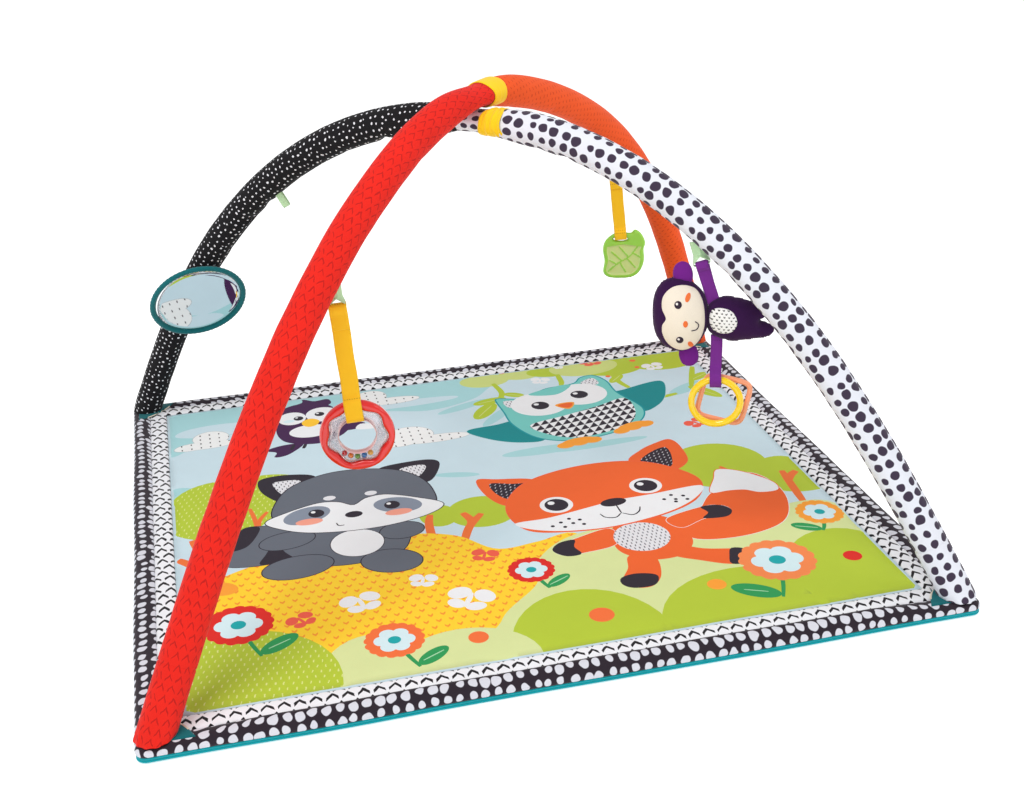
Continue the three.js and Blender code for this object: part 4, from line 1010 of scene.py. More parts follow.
def webbing(name, colour, stitch_rows):
    """Woven tape: ribs across it every 1.3 mm, and stitched rows of small dents, darkened with painted shade."""
    def build(tree):
        place = place_of(tree, True)
        apart = tree.nodes.new("ShaderNodeSeparateXYZ")
        tree.links.new(place, apart.inputs[0])
        ribs = node(tree, "Math", {0: apart.outputs[0], 1: TAU / (1.3 * MM)}, operation="MULTIPLY")
        wave = node(tree, "Math", {0: ribs}, operation="SINE")
        rows = 0.0
        for row in stitch_rows:
            away = node(tree, "Math", {0: apart.outputs[0], 1: row * MM}, operation="SUBTRACT")
            gap = node(tree, "Math", {0: away}, operation="ABSOLUTE")
            line = node(tree, "MapRange", {"Value": gap, "From Min": 0.35 * MM, "From Max": 0.6 * MM, "To Min": 1.0, "To Max": 0.0})
            rows = node(tree, "Math", {0: rows, 1: line}, operation="MAXIMUM")
        stitch = node(tree, "Math", {0: apart.outputs[1], 1: TAU / (2.6 * MM)}, operation="MULTIPLY")
        beat = node(tree, "Math", {0: stitch}, operation="SINE")
        on = node(tree, "MapRange", {"Value": beat, "From Min": -0.3, "From Max": 0.1})
        stitch_dents_and_shade = node(tree, "Math", {0: rows, 1: on}, operation="MULTIPLY")
        # Painted shade: inside the stitch dents the tape is darkened to 0.55 of its colour. The same mask also sinks
        # the dents as bumps.
        base = two_inks(tree, stitch_dents_and_shade, linear(colour), tuple(c * 0.55 for c in linear(colour)[:3]) + (1.0,))
        height = node(tree, "Math", {0: stitch_dents_and_shade, 1: -2.5, 2: wave}, operation="MULTIPLY_ADD")
        bump = node(tree, "Bump", {"Height": height, "Strength": 0.25, "Distance": 0.3 * MM})
        return node(tree, "BsdfPrincipled", {"Base Color": base, "Roughness": 0.75, "Sheen Weight": 0.15, "Specular IOR Level": 0.3, "Normal": bump})
    return material(name, build)


class GYM_OT_ribbon_loops(bpy.types.Operator):
    """Pale green ribbon loops sewn under the arches."""

    bl_idname = "gym.ribbon_loops"
    bl_label = "Ribbon loops"

    def execute(self, context):
        """Each is a ribbon from the sleeve down round the strap's bar and up again."""
        # Grosgrain ribbon: a slight rib and a dry sheen.
        ribbon = webbing("pale green grosgrain", context.scene.play_gym_colours.ribbon, ())
        drops = {"red": (29, 3.6), "orange": (26, 4.7), "white": (19, 17.2), "black": (18, 0)}
        for name, (drop, lean) in drops.items():
            place = hang(name)
            angle = math.radians(lean)
            top = drop + 9
            path = [(-9.5, top), (-10, drop * 0.6), (-9.6, 3.2), (-7.5, 0.5), (0, -0.4), (7.5, 0.5), (9.6, 3.2), (10, drop * 0.6), (9.5, top)]
            line = smooth_line(path, 60)
            u = along(line)
            across = np.linspace(-1, 1, 5)
            rise = np.clip((line[:, 1] - 3) / 9, 0, 1)
            half = (2.6 + 2.6 * rise)[:, None] * across[None]
            twist = (1.15 * rise * -np.sign(line[:, 0]))[:, None]
            inwards = 1 - 0.78 * rise[:, None]
            points = np.stack([line[:, :1] * inwards - half * np.sin(twist), half * np.cos(twist), np.broadcast_to(line[:, 1:], (60, 5))], -1)
            points = leaned(points, angle)
            if name == "black":
                # Nothing hangs here, so the ribbon lies flat on itself and swings a little aside.
                flat_loop = np.stack([np.broadcast_to(4.6 * across[None], (60, 5)), np.broadcast_to(0.22 * line[:, :1], (60, 5)), points[..., 2]], -1)
                points = leaned(flat_loop - (0, 0, drop), 0.5) + (0, 0, drop)
            piece = skin(f"{name}_ribbon", place(points), ribbon, uv=(u * MM, across * 4.5 * MM), outward=False)
            thicken(piece, 0.7 * MM)
            settle(piece, ARCH[name], [f"{name}_loop"])
        return {"FINISHED"}


def hoop(line, depth_axis, section):
    """A closed line with a section carried round it: the section's first axis lies outwards in the line's plane."""
    tangent = np.roll(line, -1, 0) - np.roll(line, 1, 0)
    tangent /= np.linalg.norm(tangent, axis=1)[:, None]
    outward = np.cross(tangent, np.asarray(depth_axis, float))
    return line[:, None] + section[..., :1] * outward[:, None] + section[..., 1:] * np.asarray(depth_axis, float)


class GYM_OT_rattle(bpy.types.Operator):
    """Red rattle ring with a clear channel and beads, on a yellow strap."""

    bl_idname = "gym.rattle"
    bl_label = "Rattle"

    def execute(self, context):
        """The ring's inner edge has seven scallops, and the clear ring in it follows them."""
        colours = context.scene.play_gym_colours
        place, lean = hang("red"), math.radians(3.6)
        centre = np.array([148 * math.sin(lean), 0, -148 * math.cos(lean)])
        t = np.linspace(0, TAU, 168, endpoint=False)
        circle = np.column_stack([np.cos(t), np.zeros_like(t), np.sin(t)])
        # The beads reach 29.0 mm from the middle, so the clear wall stays outside that at every scallop.
        scallop = 1.8 * np.cos(7 * t + 1.0)
        # Glossy injection-moulded plastic.
        red = plastic("glossy red plastic", colours.rattle, 0.12, **{"Coat Weight": 0.6, "Coat Roughness": 0.05})
        inner, outer = 31.7 + scallop, np.full_like(t, 41.0)
        self.ring("rattle_hoop", place, centre, circle, inner, outer, 5.8, 2.6, red, "rattle_ring", "rattle_red")
        # Clear styrene, faintly pink: it shows its edges and what is in it.
        clear = material("clear styrene", lambda tree: node(tree, "BsdfPrincipled", {
            "Base Color": linear("#FBF1F2"), "Roughness": 0.04, "IOR": 1.35, "Transmission Weight": 1.0, "Alpha": 0.75}))
        piece = self.ring("rattle_channel", place, centre, circle, 19.8 + 0.1 * scallop, inner - 0.35, 4.9, 3.0, clear, "rattle_clear_ring", "rattle_clear")
        thicken(piece, 0.45 * MM, offset=-1.0)
        self.ring("rattle_channel_rim", place, centre, circle, 19.9 + 0.1 * scallop, 21.1 + 0.1 * scallop, 5.2, 2.0, plastic("pink tinted styrene", "#EBBDBD", 0.1), None, "rattle_clear")
        inks = {"red": "#D5212A", "orange": "#F58A23", "green": "#6FB23C", "blue": "#1C7FD2", "yellow": "#F6C744"}
        for name, colour in inks.items():
            low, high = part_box(f"bead_{name}")
            middle = (np.array(low) + np.array(high)) / 2
            u, v = np.meshgrid(np.linspace(0, math.pi, 13), np.linspace(0, TAU, 20, endpoint=False), indexing="ij")
            ball = middle + 3.15 * MM * np.stack([np.sin(u) * np.cos(v), np.sin(u) * np.sin(v), np.cos(u)], -1)
            bead = skin(f"{name}_bead", ball, plastic(f"{name} bead plastic", colour, 0.15), wrap=(False, True))
            settle(bead, "rattle_beads", [f"bead_{name}"])
        yellow = webbing("yellow polyester webbing", colours.webbing, (6, 10, 96, 262, 278))
        path = [(-0.8, -9), (-0.8, -40), (-0.8, -90), (-1.6, -100), (-7.4, -107), (-8.0, -118), (-7.2, -127), (-2.5, -131.5), (2.5, -131.5), (7.2, -127), (8.0, -118), (7.4, -107), (1.6, -100), (0.6, -90),
                (0.6, -40), (0.7, -10), (3.6, -3), (3.4, 2.6), (0, 4.4), (-3.8, 2.4), (-4.1, -2.5), (-2.3, -8), (-2.1, -16), (-2.2, -25)]
        piece, flat = strap("rattle_webbing", path, 19, yellow, lambda p: place(leaned(p, lean)), count=190)
        settle(piece, "rattle", ["rattle_strap"])
        return {"FINISHED"}

    def ring(self, name, place, centre, circle, inner, outer, half_depth, power, cloth, node_name, slot):
        """A ring between two radii, with a superellipse section."""
        angle = np.linspace(0, TAU, 22, endpoint=False)
        sx = np.sign(np.cos(angle)) * np.abs(np.cos(angle)) ** (2 / power)
        sy = np.sign(np.sin(angle)) * np.abs(np.sin(angle)) ** (2 / power)
        radius = ((inner + outer) / 2)[:, None] + ((outer - inner) / 2)[:, None] * sx[None]
        points = centre + radius[..., None] * circle[:, None] + (half_depth * sy)[None, :, None] * np.array([0, 1.0, 0])
        piece = skin(name, place(points), cloth, wrap=(True, True))
        return settle(piece, "rattle", [node_name] if node_name else ())


def nearest(points, line, closed=True):
    """Distance from points to a line, in the plane."""
    a = line
    b = np.roll(line, -1, 0) if closed else line[1:]
    a = a if closed else a[:-1]
    step = b - a
    share = np.clip(np.einsum("pld,ld->pl", points[:, None] - a[None], step) / np.maximum(np.sum(step ** 2, 1), 1e-9), 0, 1)
    foot = a[None] + share[..., None] * step[None]
    return np.linalg.norm(points[:, None] - foot, axis=2).min(1)


class GYM_OT_leaf(bpy.types.Operator):
    """Lime leaf teether with a paler inside and raised veins, on a yellow strap."""

    bl_idname = "gym.leaf"
    bl_label = "Leaf teether"

    OUTLINE = [(-12, 31), (-25, 21), (-29.5, 8), (-27.5, -10), (-29.2, -26), (-22, -33.5), (-7, -35), (11, -33.5), (22.5, -24.5),
               (28, -9), (27.4, 7), (29.5, 17), (24, 29.5), (15.5, 35.5), (9.5, 31), (0, 31.5)]
    VEINS = [[(-22, -24), (-8, -12), (8, -2), (20, 14)], [(-10, -14), (-20, -8)], [(-3, -9), (-17, 4)], [(6, -3), (-6, 11)], [(-6, -11), (2, -25)], [(4, -5), (15, -18)], [(12, 3), (23, -4)]]

    def execute(self, context):
        """Heights rise in a quarter circle from the edge, drop inside the frame, and rise again over the veins."""
        colours = context.scene.play_gym_colours
        place, lean = hang("orange"), math.radians(4.7)
        outline = smooth_line(self.OUTLINE, 150, closed=True)
        slot = grown(oval(-5, 22.3, 9.6, 2.3, count=30), 0.3)
        inner = outline * (1 - 5.6 / np.linalg.norm(outline, axis=1))[:, None]
        inner[:, 1] = np.minimum(inner[:, 1], 15.5 - 0.15 * np.abs(inner[:, 0]))
        points, faces = plane_mesh([outline, slot, inner], 1.3, (-31, -36), (31, 37))
        middles = points[faces].mean(1)
        keep = inside(outline, middles) & ~inside(slot, middles)
        faces, middles = faces[keep], middles[keep]
        edge = np.minimum(nearest(points, outline), nearest(points, slot))
        height = 4.3 * np.sqrt(np.clip(1 - (1 - np.clip(edge / 3.4, 0, 1)) ** 2, 0, 1)) + 0.15
        into = np.clip(nearest(points, inner) / 1.6, 0, 1) * inside(inner, points)
        height -= 1.5 * into ** 2 * (3 - 2 * into)
        veins = np.min([nearest(points, smooth_line(vein, 24), closed=False) for vein in self.VEINS], axis=0)
        height += 1.2 * np.exp(-(veins / 1.3) ** 2) * into
        corners, solid, fronts = solid_from_plane(points, faces, height, -height)
        hanging = np.array([85.75 * math.sin(lean) + 5, 0, -85.75 * math.cos(lean) - 28.25])
        world = place(np.column_stack([corners[:, 0], -corners[:, 2], corners[:, 1]]) + hanging)
        mesh = bpy.data.meshes.new("leaf_body")
        mesh.from_pydata(world, [], solid)
        pale = (inside(inner, middles) & (np.min([nearest(middles, smooth_line(vein, 24), closed=False) for vein in self.VEINS], axis=0) > 1.1)).astype(np.int32)
        mesh.polygons.foreach_set("material_index", np.concatenate([pale, pale, np.zeros(len(solid) - 2 * fronts, np.int32)]))
        # Soft silicone: satin, a little light passes through it.
        lime = plastic("lime silicone", colours.leaf, 0.38, **{"Subsurface Weight": 0.3, "Subsurface Scale": 0.004})
        light = plastic("pale lime silicone", colours.leaf_pale, 0.42, **{"Subsurface Weight": 0.3, "Subsurface Scale": 0.004})
        piece = tidy_mesh("leaf_body", mesh, [lime, light])
        settle(piece, "leaf", ["leaf_teether"])
        yellow = webbing("yellow leaf webbing", colours.webbing, (5, 71, 75, 215))
        path = [(-0.8, -9), (-0.8, -40), (-0.8, -72), (-1.5, -77), (-5.6, -81), (-6.0, -86), (-5, -91), (-1.6, -92.2), (1.6, -92.2), (5, -91), (6.0, -86), (5.6, -81), (1.5, -77), (0.6, -72),
                (0.6, -40), (0.7, -10), (3.6, -3), (3.4, 2.6), (0, 4.4), (-3.8, 2.4), (-4.1, -2.5), (-2.3, -8), (-2.1, -14), (-2.2, -20)]
        piece, flat = strap("leaf_webbing", path, 16.5, yellow, lambda p: place(leaned(p, lean)))
        settle(piece, "leaf", ["leaf_strap"])
        return {"FINISHED"}


def inflated(outline, thickness, pitch, steps=700):
    """A stuffed shape between two cloths cut to an outline: corners and faces, and its half-thickness.

    The cloth settles like a soap film under pressure: u averages its neighbours and gains a little at each
    step, and stays 0 on the outline. The half-thickness is thickness / 2 * sqrt(u / max u)."""
    low, high = outline.min(0) - 1, outline.max(0) + 1
    points, faces = plane_mesh([outline], pitch, low, high)
    faces = faces[inside(outline, points[faces].mean(1))]
    used, faces = np.unique(faces, return_inverse=True)
    points, faces = points[used], faces.reshape(-1, 3)
    edges = np.unique(np.sort(np.concatenate([faces[:, [0, 1]], faces[:, [1, 2]], faces[:, [2, 0]]]), 1), axis=0)
    weight = 1 / np.maximum(np.linalg.norm(points[edges[:, 0]] - points[edges[:, 1]], axis=1), 0.3) ** 1.0
    rim = nearest(points, outline) < 1e-2
    total = np.bincount(edges.ravel(), np.repeat(weight, 2), len(points))
    u = np.zeros(len(points))
    for _ in range(steps):
        pull = np.bincount(edges[:, 0], weight * u[edges[:, 1]], len(points)) + np.bincount(edges[:, 1], weight * u[edges[:, 0]], len(points))
        u = np.where(rim, 0, pull / total + 1)
    return points, faces, thickness / 2 * np.sqrt(u / u.max())


def plush(name, outline, thickness, pitch, cloth, place, body, node_names, puckers=0.5):
    """A stuffed piece with a seam round its outline. Returns a function that finds its front at x and z."""
    points, faces, half = inflated(outline, thickness, pitch)
    rim = nearest(points, outline)
    wrinkle = puckers * np.exp(-rim / 4) * ripple(points[:, 0] / 5, points[:, 1] / 5, 71) * (rim > 0.01)
    front, back = half + wrinkle * 0.6, -half - wrinkle * 0.4
    corners, solid, _ = solid_from_plane(points, faces, front, back)
    mesh = bpy.data.meshes.new(name)
    mesh.from_pydata(place(np.column_stack([corners[:, 0], -corners[:, 2], corners[:, 1]])), [], solid)
    piece = tidy_mesh(name, mesh, cloth)
    settle(piece, body, node_names)
    tree = BVHTree.FromPolygons([Vector((x, z, h)) for (x, z), h in zip(points, front)], faces.tolist())

    def depth(spots_at):
        """How far the front stands out at each point."""
        found = [tree.ray_cast(Vector((x, z, 80)), Vector((0, 0, -1)))[0] for x, z in spots_at]
        return np.array([hit.z if hit else 0.0 for hit in found])
    return depth


def applique(name, outline, lift, cloth, place, depth, body, node_names, rings=10):
    """A patch sewn on a plush front: rings of its outline, lifted a little, with the edge turned in."""
    middle = outline.mean(0)
    shares = np.concatenate([np.linspace(0, 0.93, rings), [0.98, 1.0, 1.0]])
    lifts = np.concatenate([np.full(rings, lift), [lift * 0.75, 0.1, -0.8]])
    flat = middle + (outline - middle)[None] * shares[:, None, None]
    out = depth(flat.reshape(-1, 2)).reshape(flat.shape[:2]) + lifts[:, None]
    points = np.stack([flat[..., 0], -out, flat[..., 1]], -1)
    piece = skin(name, place(points), cloth, wrap=(False, True), outward=False)
    return settle(piece, body, node_names)


class GYM_OT_monkey(bpy.types.Operator):
    """Plush monkey that lies across its strap, with a yellow ring and a peach link below."""

    bl_idname = "gym.monkey"
    bl_label = "Monkey, ring and link"

    def execute(self, context):
        """Stuffed shapes from their flat outlines, with sewn-on patches."""
        colours = context.scene.play_gym_colours
        place = hang("white")
        # Short velour pile: dark, with a bright rim where light grazes it.
        velour = fabric("dark purple velour", colours.velour, cloth=False, thread=0.9, depth=0.5, sheen=0.12, roughness=1.0, mottle=0.08)
        bright = fabric("bright purple velour", colours.bright, cloth=False, thread=0.9, depth=0.4, sheen=0.15, roughness=1.0)
        cream = fabric("cream velour", colours.cream, cloth=False, thread=0.8, depth=0.3, sheen=0.3, roughness=1.0)
        spotted = fabric("white cotton with small triangles", "#F4F3F1", lambda tree, at: strokes(
            tree, node(tree, "Mapping", {"Vector": at, "Rotation": (math.pi / 2, 0, 0)}), (4.4, 3.6), 0.9, 0.8, 1.5, jitter=0.2), "#1D1A20", cloth=False, thread=0.8)
        ear = [(0, 14), (-8, 10), (-11, 0), (-8.5, -10), (0, -14), (8.5, -10), (11, 0), (8, 10)]
        for name, (x, z), turn in [("upper", (-21, -11), 0.1), ("lower", (-13, -106), 0.2)]:
            shape = smooth_line(ear, 40, closed=True) @ np.array([[math.cos(turn), math.sin(turn)], [-math.sin(turn), math.cos(turn)]]) * (1, 1.05) + (x, z)
            plush(f"{name}_ear_plush", shape, 8, 1.6, bright, place, "monkey", [f"monkey_{name}_ear"])
        body = smooth_line([(6, -61), (9, -44), (24, -36.5), (40, -38), (52, -41), (63, -44), (72, -44), (78, -48.5), (77, -55), (69, -60), (64, -63), (70, -65.5), (78, -69), (80.5, -75.5),
                            (75, -82), (64, -84), (50, -86), (34, -88), (18, -84), (8, -76)], 130, closed=True)
        body_front = plush("body_plush", body, 36, 2.0, velour, place, "monkey", ["monkey_body"])
        head = smooth_line([(-54, -58), (-52, -35), (-43, -20), (-28, -15), (-12, -19), (2, -32), (8, -52), (8, -70), (0, -88), (-13, -99), (-28, -101), (-42, -94), (-51, -80)], 130, closed=True)
        head_front = plush("head_plush", head, 42, 2.0, velour, place, "monkey", ["monkey_head"])
        face = smooth_line([(-38.5, -57), (-43, -46), (-42, -33), (-33, -23), (-20, -20.5), (-7, -25.5), (1, -38), (4, -56), (3, -73), (-3, -88), (-13, -96.5), (-25, -97), (-36, -89), (-42, -77), (-42.5, -66)], 120, closed=True)
        applique("face_patch", face, 0.9, cream, place, head_front, "monkey", ["monkey_face"], 16)
        applique("belly_patch", smooth_line([(9, -60), (12, -49), (22, -45.5), (34, -49), (39.5, -60), (35, -71), (24, -75), (13, -71.5)], 60, closed=True), 0.9, spotted, place, body_front, "monkey", ["monkey_belly_patch"])
        self.features(place, head_front)
        tape = webbing("bright purple tape", colours.bright, (6, 62, 130))
        lean = math.atan2(13, 42)
        path = [(-0.8, -52), (-0.8, -30), (-0.8, -10), (-0.9, -7), (-3.6, -3), (-3.4, 2.6), (0, 4.4), (3.6, 2.4), (3.8, -3), (1.6, -8), (0.7, -20), (0.7, -52)]
        piece, flat = strap("upper_tape", path, 14, tape, lambda p: place(leaned(p, lean)), count=90)
        settle(piece, "monkey", ["monkey_upper_strap"])
        path = [(-0.7, -82), (-0.8, -110), (-1.6, -121), (-8.6, -128), (-10.2, -135), (-8.4, -141.5), (-3, -144), (4, -144), (8.8, -141), (9.8, -135), (8.0, -128), (1.6, -121), (0.7, -110), (0.7, -82)]
        piece, flat = strap("lower_tape", path, 13, tape, lambda p: place(p + (17.7, 0, 0)), count=110)
        settle(piece, "monkey", ["monkey_lower_strap"])
        self.rings(colours, place)
        return {"FINISHED"}

    def features(self, place, front):
        """Eyes with highlights, cheeks, nose and a small smile. The head lies with its brow to the left."""
        dark = fabric("dark embroidery", "#2A1A2E", cloth=False, thread=0.7, depth=0.4, roughness=0.5)
        white = fabric("white embroidery", "#F7F4EF", cloth=False, thread=0.7, depth=0.4)
        orange = fabric("orange embroidery", "#F2763A", cloth=False, thread=0.7, depth=0.4)
        shapes = [
            ("upper_eye", oval(-25.3, -40, 4.2, 4.4), dark, 1.5), ("lower_eye", oval(-22.8, -82, 4.2, 4.4), dark, 1.5),
            ("upper_glint", oval(-26.6, -38.8, 1.4, 1.4, count=16), white, 1.8), ("lower_glint", oval(-24.1, -80.8, 1.4, 1.4, count=16), white, 1.8),
            ("upper_cheek", oval(-14.8, -32.5, 2.8, 5.0, -0.3), orange, 1.3), ("lower_cheek", oval(-10.8, -89, 2.8, 5.0, 0.4), orange, 1.3),
            ("nose", oval(-16.8, -62, 2.7, 4.0), orange, 1.5), 
        ]
        for name, outline, cloth, lift in shapes:
            applique(f"monkey_{name}", outline, lift, cloth, place, front, "monkey", (), 4)
        smile = smooth_line([(-6.4, -59.5), (-3.2, -62.5), (-2.6, -66), (-5.0, -69.6), (-10, -70.4)], 30)
        line = np.column_stack([smile[:, 0], -front(smile) - 1.2, smile[:, 1]])
        thread = carry(line, rounded_section(1.2, 1.0, 8, 2), (0, 1, 0))
        settle(skin("monkey_smile", place(thread), dark, wrap=(False, True)), "monkey", ())

    def rings(self, colours, place):
        """A round ring in front and a rounded-square link behind it."""
        # Smooth moulded plastic, the ring glossier than the link.
        yellow = plastic("glossy yellow plastic", colours.ring, 0.15, **{"Coat Weight": 0.4})
        peach = plastic("satin peach plastic", colours.link, 0.3)
        angle = np.linspace(0, TAU, 18, endpoint=False)
        t = np.linspace(0, TAU, 96, endpoint=False)
        line = np.column_stack([18.7 + 27.5 * np.cos(t), np.full_like(t, -4.3), -162 + 27.5 * np.sin(t)])
        section = 3.95 * np.column_stack([np.cos(angle), np.sin(angle)])
        piece = skin("yellow_hoop", place(hoop(line, (0, 1, 0), section)), yellow, wrap=(True, True))
        settle(piece, "yellow_ring", ["yellow_ring"])
        square = 26.3 * np.column_stack([np.sign(np.cos(t)) * np.abs(np.cos(t)) ** 0.36, np.sign(np.sin(t)) * np.abs(np.sin(t)) ** 0.36])
        square = smooth_line(square, 120, closed=True)
        turn = math.radians(-13)
        x = square[:, 0] * math.cos(turn) - square[:, 1] * math.sin(turn)
        z = square[:, 0] * math.sin(turn) + square[:, 1] * math.cos(turn)
        line = np.column_stack([27.7 + x, np.full(120, 3.7), -162 + z])
        section = 3.1 * np.column_stack([np.cos(angle), np.sin(angle)])
        piece = skin("peach_hoop", place(hoop(line, (0, 1, 0), section)), peach, wrap=(True, True))
        settle(piece, "peach_link", ["peach_link"])


class GYM_OT_inner_parts(bpy.types.Operator):
    """Glass-fibre rods, steel ferrules and wadding, which the cloth hides."""

    bl_idname = "gym.inner_parts"
    bl_label = "Inner parts"

    def execute(self, context):
        """Each rod is a round bar along its leg's line, and each ferrule a short tube round the join. The
        wadding keeps its CAD shape."""
        # Pultruded glass fibre: fine streaks along it under a satin resin.
        fibre = material("pultruded glass fibre", lambda tree: self.streaked(tree, "#D9D8CC", 0.35, 0.0))
        # Drawn steel tube, nickel plated: bright, with faint drawing lines.
        steel = material("nickel plated steel", lambda tree: self.streaked(tree, "#B9BBBF", 0.28, 1.0))
        section = rounded_section(1, 1, 16, 2) * MM
        for name, leg in LEGS.items():
            line, _, _, _ = leg_line(name, 400)
            from_middle = line[:, :2] @ (np.array(leg["foot"]) / math.sqrt(2))
            line = line[(from_middle > 0.8 * MM) & (line[:, 2] > FOOT_Z + 8 * MM)]
            rod = skin(f"{name}_bar", carry(line, 11 * section, (0, 0, 1)), fibre, wrap=(False, True))
            settle(rod, ARCH[name], [f"{name}_rod"])
        for name, legs in {"upper_ferrule": ("red", "orange"), "lower_ferrule": ("black", "white")}.items():
            first, second = (leg_line(leg, 400)[0] for leg in legs)
            line = np.concatenate([first, second[::-1]])
            from_middle = line[:, :2] @ (np.array(LEGS[legs[0]]["foot"]) / math.sqrt(2))
            line = line[np.abs(from_middle) < 26 * MM]
            line = line[np.argsort(line[:, 0])]
            line = smooth_line(line[::8], 30)
            turn = np.linspace(0, TAU, 24, endpoint=False)
            ring = np.stack([np.cos(turn), np.sin(turn)], -1) * MM
            shell = np.stack([carry(line, 7.7 * ring, (0, 0, 1))[1:-1], carry(line, 6.7 * ring, (0, 0, 1))[1:-1]])
            loop = np.concatenate([shell[0], shell[1][::-1]])
            tube = skin(f"{name}_tube", loop, steel, wrap=(True, True))
            settle(tube, ARCH[legs[0]], [name])
        wadding = fabric("polyester wadding", "#F2F2EF", cloth=False, thread=3.0, depth=0.9, roughness=1.0)
        filling = frame["nodes"]["mat_filling"].data.materials
        filling.clear()
        filling.append(wadding)
        return {"FINISHED"}

    def streaked(self, tree, colour, roughness, metallic):
        """Noise drawn out along the height shades the colour and lifts the surface a little."""
        drawn = node(tree, "Mapping", {"Vector": place_of(tree, False), "Scale": (900.0, 900.0, 30.0)})
        streaks = node(tree, "TexNoise", {"Vector": drawn, "Scale": 1.0, "Detail": 3.0})
        shade = node(tree, "MapRange", {"Value": streaks, "To Min": 0.85, "To Max": 1.05})
        tinted = node(tree, "Mix", {0: 1.0, 6: linear(colour), 7: shade}, out=2, data_type="RGBA", blend_type="MULTIPLY")
        bump = node(tree, "Bump", {"Height": streaks, "Strength": 0.1, "Distance": 0.2 * MM})
        return node(tree, "BsdfPrincipled", {"Base Color": tinted, "Roughness": roughness, "Metallic": metallic, "Normal": bump})


class GYM_OT_mirror(bpy.types.Operator):
    """Round soft mirror with a ribbed rim, strapped to the black arch."""

    bl_idname = "gym.mirror"
    bl_label = "Mirror"

    def execute(self, context):
        """Turned profiles about the mirror's own axis. Ribs run round the rim as a sine."""
        colours = context.scene.play_gym_colours
        origin = np.array(JOINTS["mirror_tilt"]["pos_m"])
        along_leg = np.array(JOINTS["mirror_tilt"]["axis"])
        facing = np.array([0.138, -0.867, -0.48])
        facing -= along_leg * (facing @ along_leg)
        facing /= np.linalg.norm(facing)
        side = np.cross(along_leg, facing)
        up = np.cross(side, facing)
        knit = fabric("deep teal rib knit", colours.deep_teal, cloth=False, thread=1.1, depth=0.5, sheen=0.4)

        def turned(name, profile, cloth, ribs=0.0, count=192):
            """A profile of radii and depths, in millimetres, turned about the axis."""
            line = np.asarray(profile, float)
            t = np.linspace(0, TAU, count, endpoint=False)
            radius = line[:, :1] * (1 + 0 * t) + ribs * np.sin(64 * t)[None] * (line[:, :1] > 56)
            points = origin + MM * (radius[..., None] * (np.cos(t)[:, None] * side + np.sin(t)[:, None] * up)[None] + (line[:, 1:] + 0.0 * t)[..., None] * facing)
            return skin(name, points, cloth, wrap=(False, True))

        rim = smooth_line([(0, 23.2), (40, 23.2), (58, 23.4), (62.5, 24.4), (65.3, 27), (65.4, 29.4), (63.4, 31.3), (60.2, 31.2), (58.3, 29.6), (57.6, 28.0), (50, 27.2), (0, 27.2)], 60)
        settle(turned("mirror_cushion", rim, knit, 0.3), "mirror", ["mirror_pad"])
        # Acrylic mirror film: almost perfect, with a faint waviness.
        film = material("acrylic mirror film", lambda tree: node(tree, "BsdfPrincipled", {
            "Base Color": linear("#E9EEF0"), "Metallic": 1.0, "Roughness": 0.03,
            "Normal": node(tree, "Bump", {"Height": node(tree, "TexNoise", {"Vector": place_of(tree, False), "Scale": 14.0}), "Strength": 0.12, "Distance": 0.4 * MM})}))
        disc = [(0, 27.6), (54, 27.6), (57.8, 27.8), (58.2, 28.6), (57.6, 29.2), (50, 29.45), (25, 29.6), (0, 29.6)]
        settle(turned("mirror_film_disc", disc, film), "mirror", ["mirror_disc"])
        v = np.linspace(0, TAU, 72, endpoint=False)
        w = np.linspace(-11.5, 11.5, 13)
        radius = 21.4 + 0.35 * ripple(v[None] * 1.3, w[:, None] / 9, 5)
        points = origin + MM * (radius[..., None] * (np.cos(v)[:, None] * side + np.sin(v)[:, None] * facing)[None] + w[:, None, None] * along_leg)
        band = skin("mirror_band", points, knit, wrap=(False, True), outward=False)
        thicken(band, 1.0 * MM)
        settle(band, "mirror", ["mirror_strap"])
        return {"FINISHED"}


# Stage


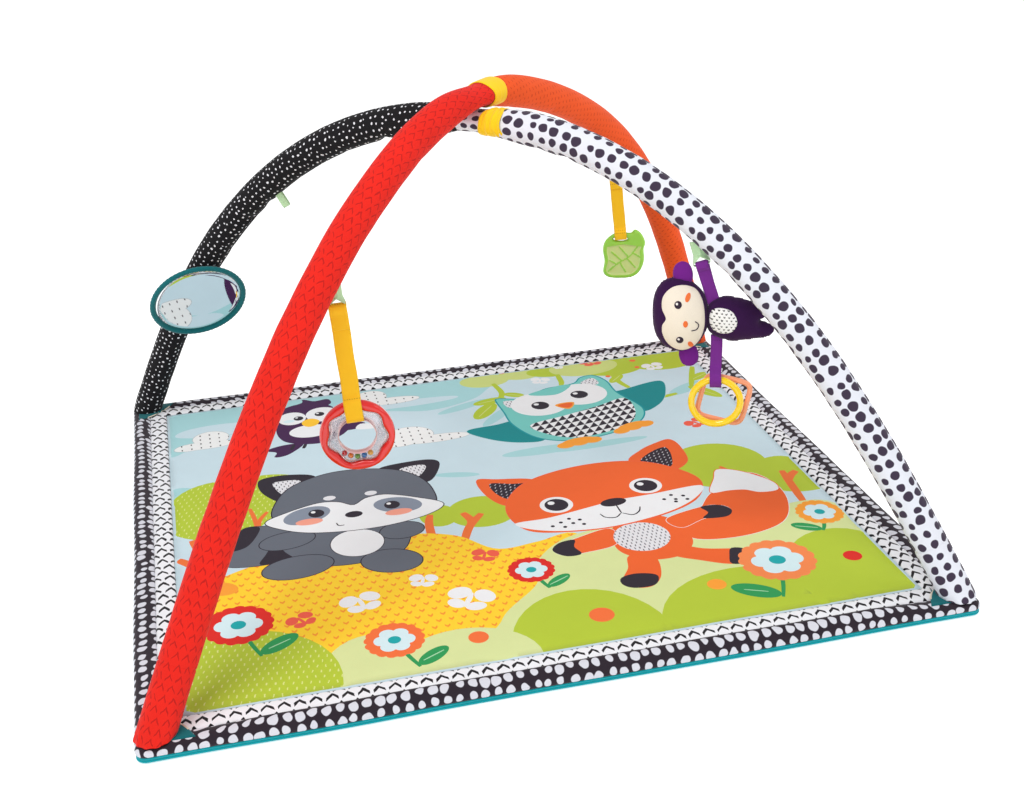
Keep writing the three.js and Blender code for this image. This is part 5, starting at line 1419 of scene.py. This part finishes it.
class GYM_OT_stage(bpy.types.Operator):
    """Pale floor, soft light and the camera."""

    bl_idname = "gym.stage"
    bl_label = "Stage"

    def execute(self, context):
        """A wide plane under the gym, a bright sky all round, and two large soft lamps."""
        scene = context.scene
        floor_mesh = bpy.data.meshes.new("floor")
        reach = 9.0
        floor_mesh.from_pydata([(-reach, -reach, -0.0005), (reach, -reach, -0.0005), (reach, reach, -0.0005), (-reach, reach, -0.0005)], [], [(0, 1, 2, 3)])
        floor = bpy.data.objects.new("floor", floor_mesh)
        scene.collection.objects.link(floor)
        floor_mesh.materials.append(material("pale studio floor", self.floor_shader))
        world = bpy.data.worlds.new("studio")
        scene.world = world
        world.use_nodes = True
        tree = world.node_tree
        sky = tree.nodes["Background"]
        sky.inputs["Color"].default_value = (1.0, 1.0, 1.0, 1.0)
        seen = node(tree, "LightPath", out="Is Camera Ray")
        strength = node(tree, "MapRange", {"Value": seen, "To Min": 0.62, "To Max": 1.0})
        tree.links.new(strength, sky.inputs["Strength"])
        self.lamp("key", (-0.9, -1.0, 2.6), 1.3, 36)
        self.lamp("fill", (2.1, -0.6, 1.7), 1.5, 10)
        self.camera(scene)
        scene.view_settings.view_transform = "Standard"
        return {"FINISHED"}

    def floor_shader(self, tree):
        """White seamless paper."""
        grain = node(tree, "TexNoise", {"Vector": place_of(tree, False), "Scale": 3.0})
        shade = node(tree, "MapRange", {"Value": grain, "To Min": 0.90, "To Max": 0.92})
        lift = node(tree, "Emission", {"Color": (1.0, 1.0, 1.0, 1.0), "Strength": 0.5})
        return node(tree, "AddShader", {0: node(tree, "BsdfDiffuse", {"Color": shade}), 1: lift})

    def lamp(self, name, place, width, watts):
        """A square soft lamp that looks at the middle of the gym."""
        light = bpy.data.lights.new(name, "AREA")
        light.size = width
        light.energy = watts
        lamp = bpy.data.objects.new(name, light)
        lamp.location = place
        lamp.rotation_euler = (Vector((0, 0, 0.2)) - Vector(place)).to_track_quat("-Z", "Y").to_euler()
        bpy.context.scene.collection.objects.link(lamp)

    def camera(self, scene):
        """Stands in front, a little to the left, and looks down at the gym with a slight roll."""
        lens = bpy.data.cameras.new("front view")
        lens.lens = 48.59
        lens.sensor_width = 36
        camera = bpy.data.objects.new("front view", lens)
        ahead = Vector((0.21049, 0.88971, -0.40511)).normalized()
        up = Vector((0.12780, 0.38579, 0.91369))
        right = ahead.cross(up).normalized()
        up = right.cross(ahead)
        camera.matrix_world = Matrix((right, up, -ahead)).transposed().to_4x4()
        camera.location = (-0.33403, -1.54175, 0.84475)
        scene.collection.objects.link(camera)
        scene.camera = camera


class GYM_PT_sidebar(bpy.types.Panel):
    """Sizes, colours and a button for each group of pieces."""

    bl_idname = "GYM_PT_sidebar"
    bl_label = "Play gym"
    bl_space_type = "VIEW_3D"
    bl_region_type = "UI"
    bl_category = "Play gym"

    def draw(self, context):
        """Lists every setting and every operator."""
        for group in (context.scene.play_gym, context.scene.play_gym_colours):
            for name in group.__annotations__:
                self.layout.prop(group, name)
        for step in STEPS:
            self.layout.operator(f"gym.{step}")


CLASSES = (
    GymSizes, GymColours, GYM_OT_stage, GYM_OT_mat_edges, GYM_OT_corner_tabs, GYM_OT_play_panel, GYM_OT_sleeves,
    GYM_OT_crossing_wrap, GYM_OT_ribbon_loops, GYM_OT_rattle, GYM_OT_leaf, GYM_OT_monkey, GYM_OT_mirror, GYM_OT_inner_parts, GYM_PT_sidebar,
)
STEPS = (
    "stage", "mat_edges", "corner_tabs", "play_panel", "sleeves", "crossing_wrap", "ribbon_loops", "rattle", "leaf", "monkey", "mirror", "inner_parts",
)


def register():
    """Registers the classes and the settings that they keep in the scene."""
    for item in CLASSES:
        bpy.utils.register_class(item)
    bpy.types.Scene.play_gym = PointerProperty(type=GymSizes)
    bpy.types.Scene.play_gym_colours = PointerProperty(type=GymColours)


def unregister():
    """Undoes register."""
    del bpy.types.Scene.play_gym
    del bpy.types.Scene.play_gym_colours
    for item in reversed(CLASSES):
        bpy.utils.unregister_class(item)


def main():
    """Makes everything in order."""
    register()
    for step in STEPS:
        getattr(bpy.ops.gym, step)()


if __name__ == "__main__":
    main()
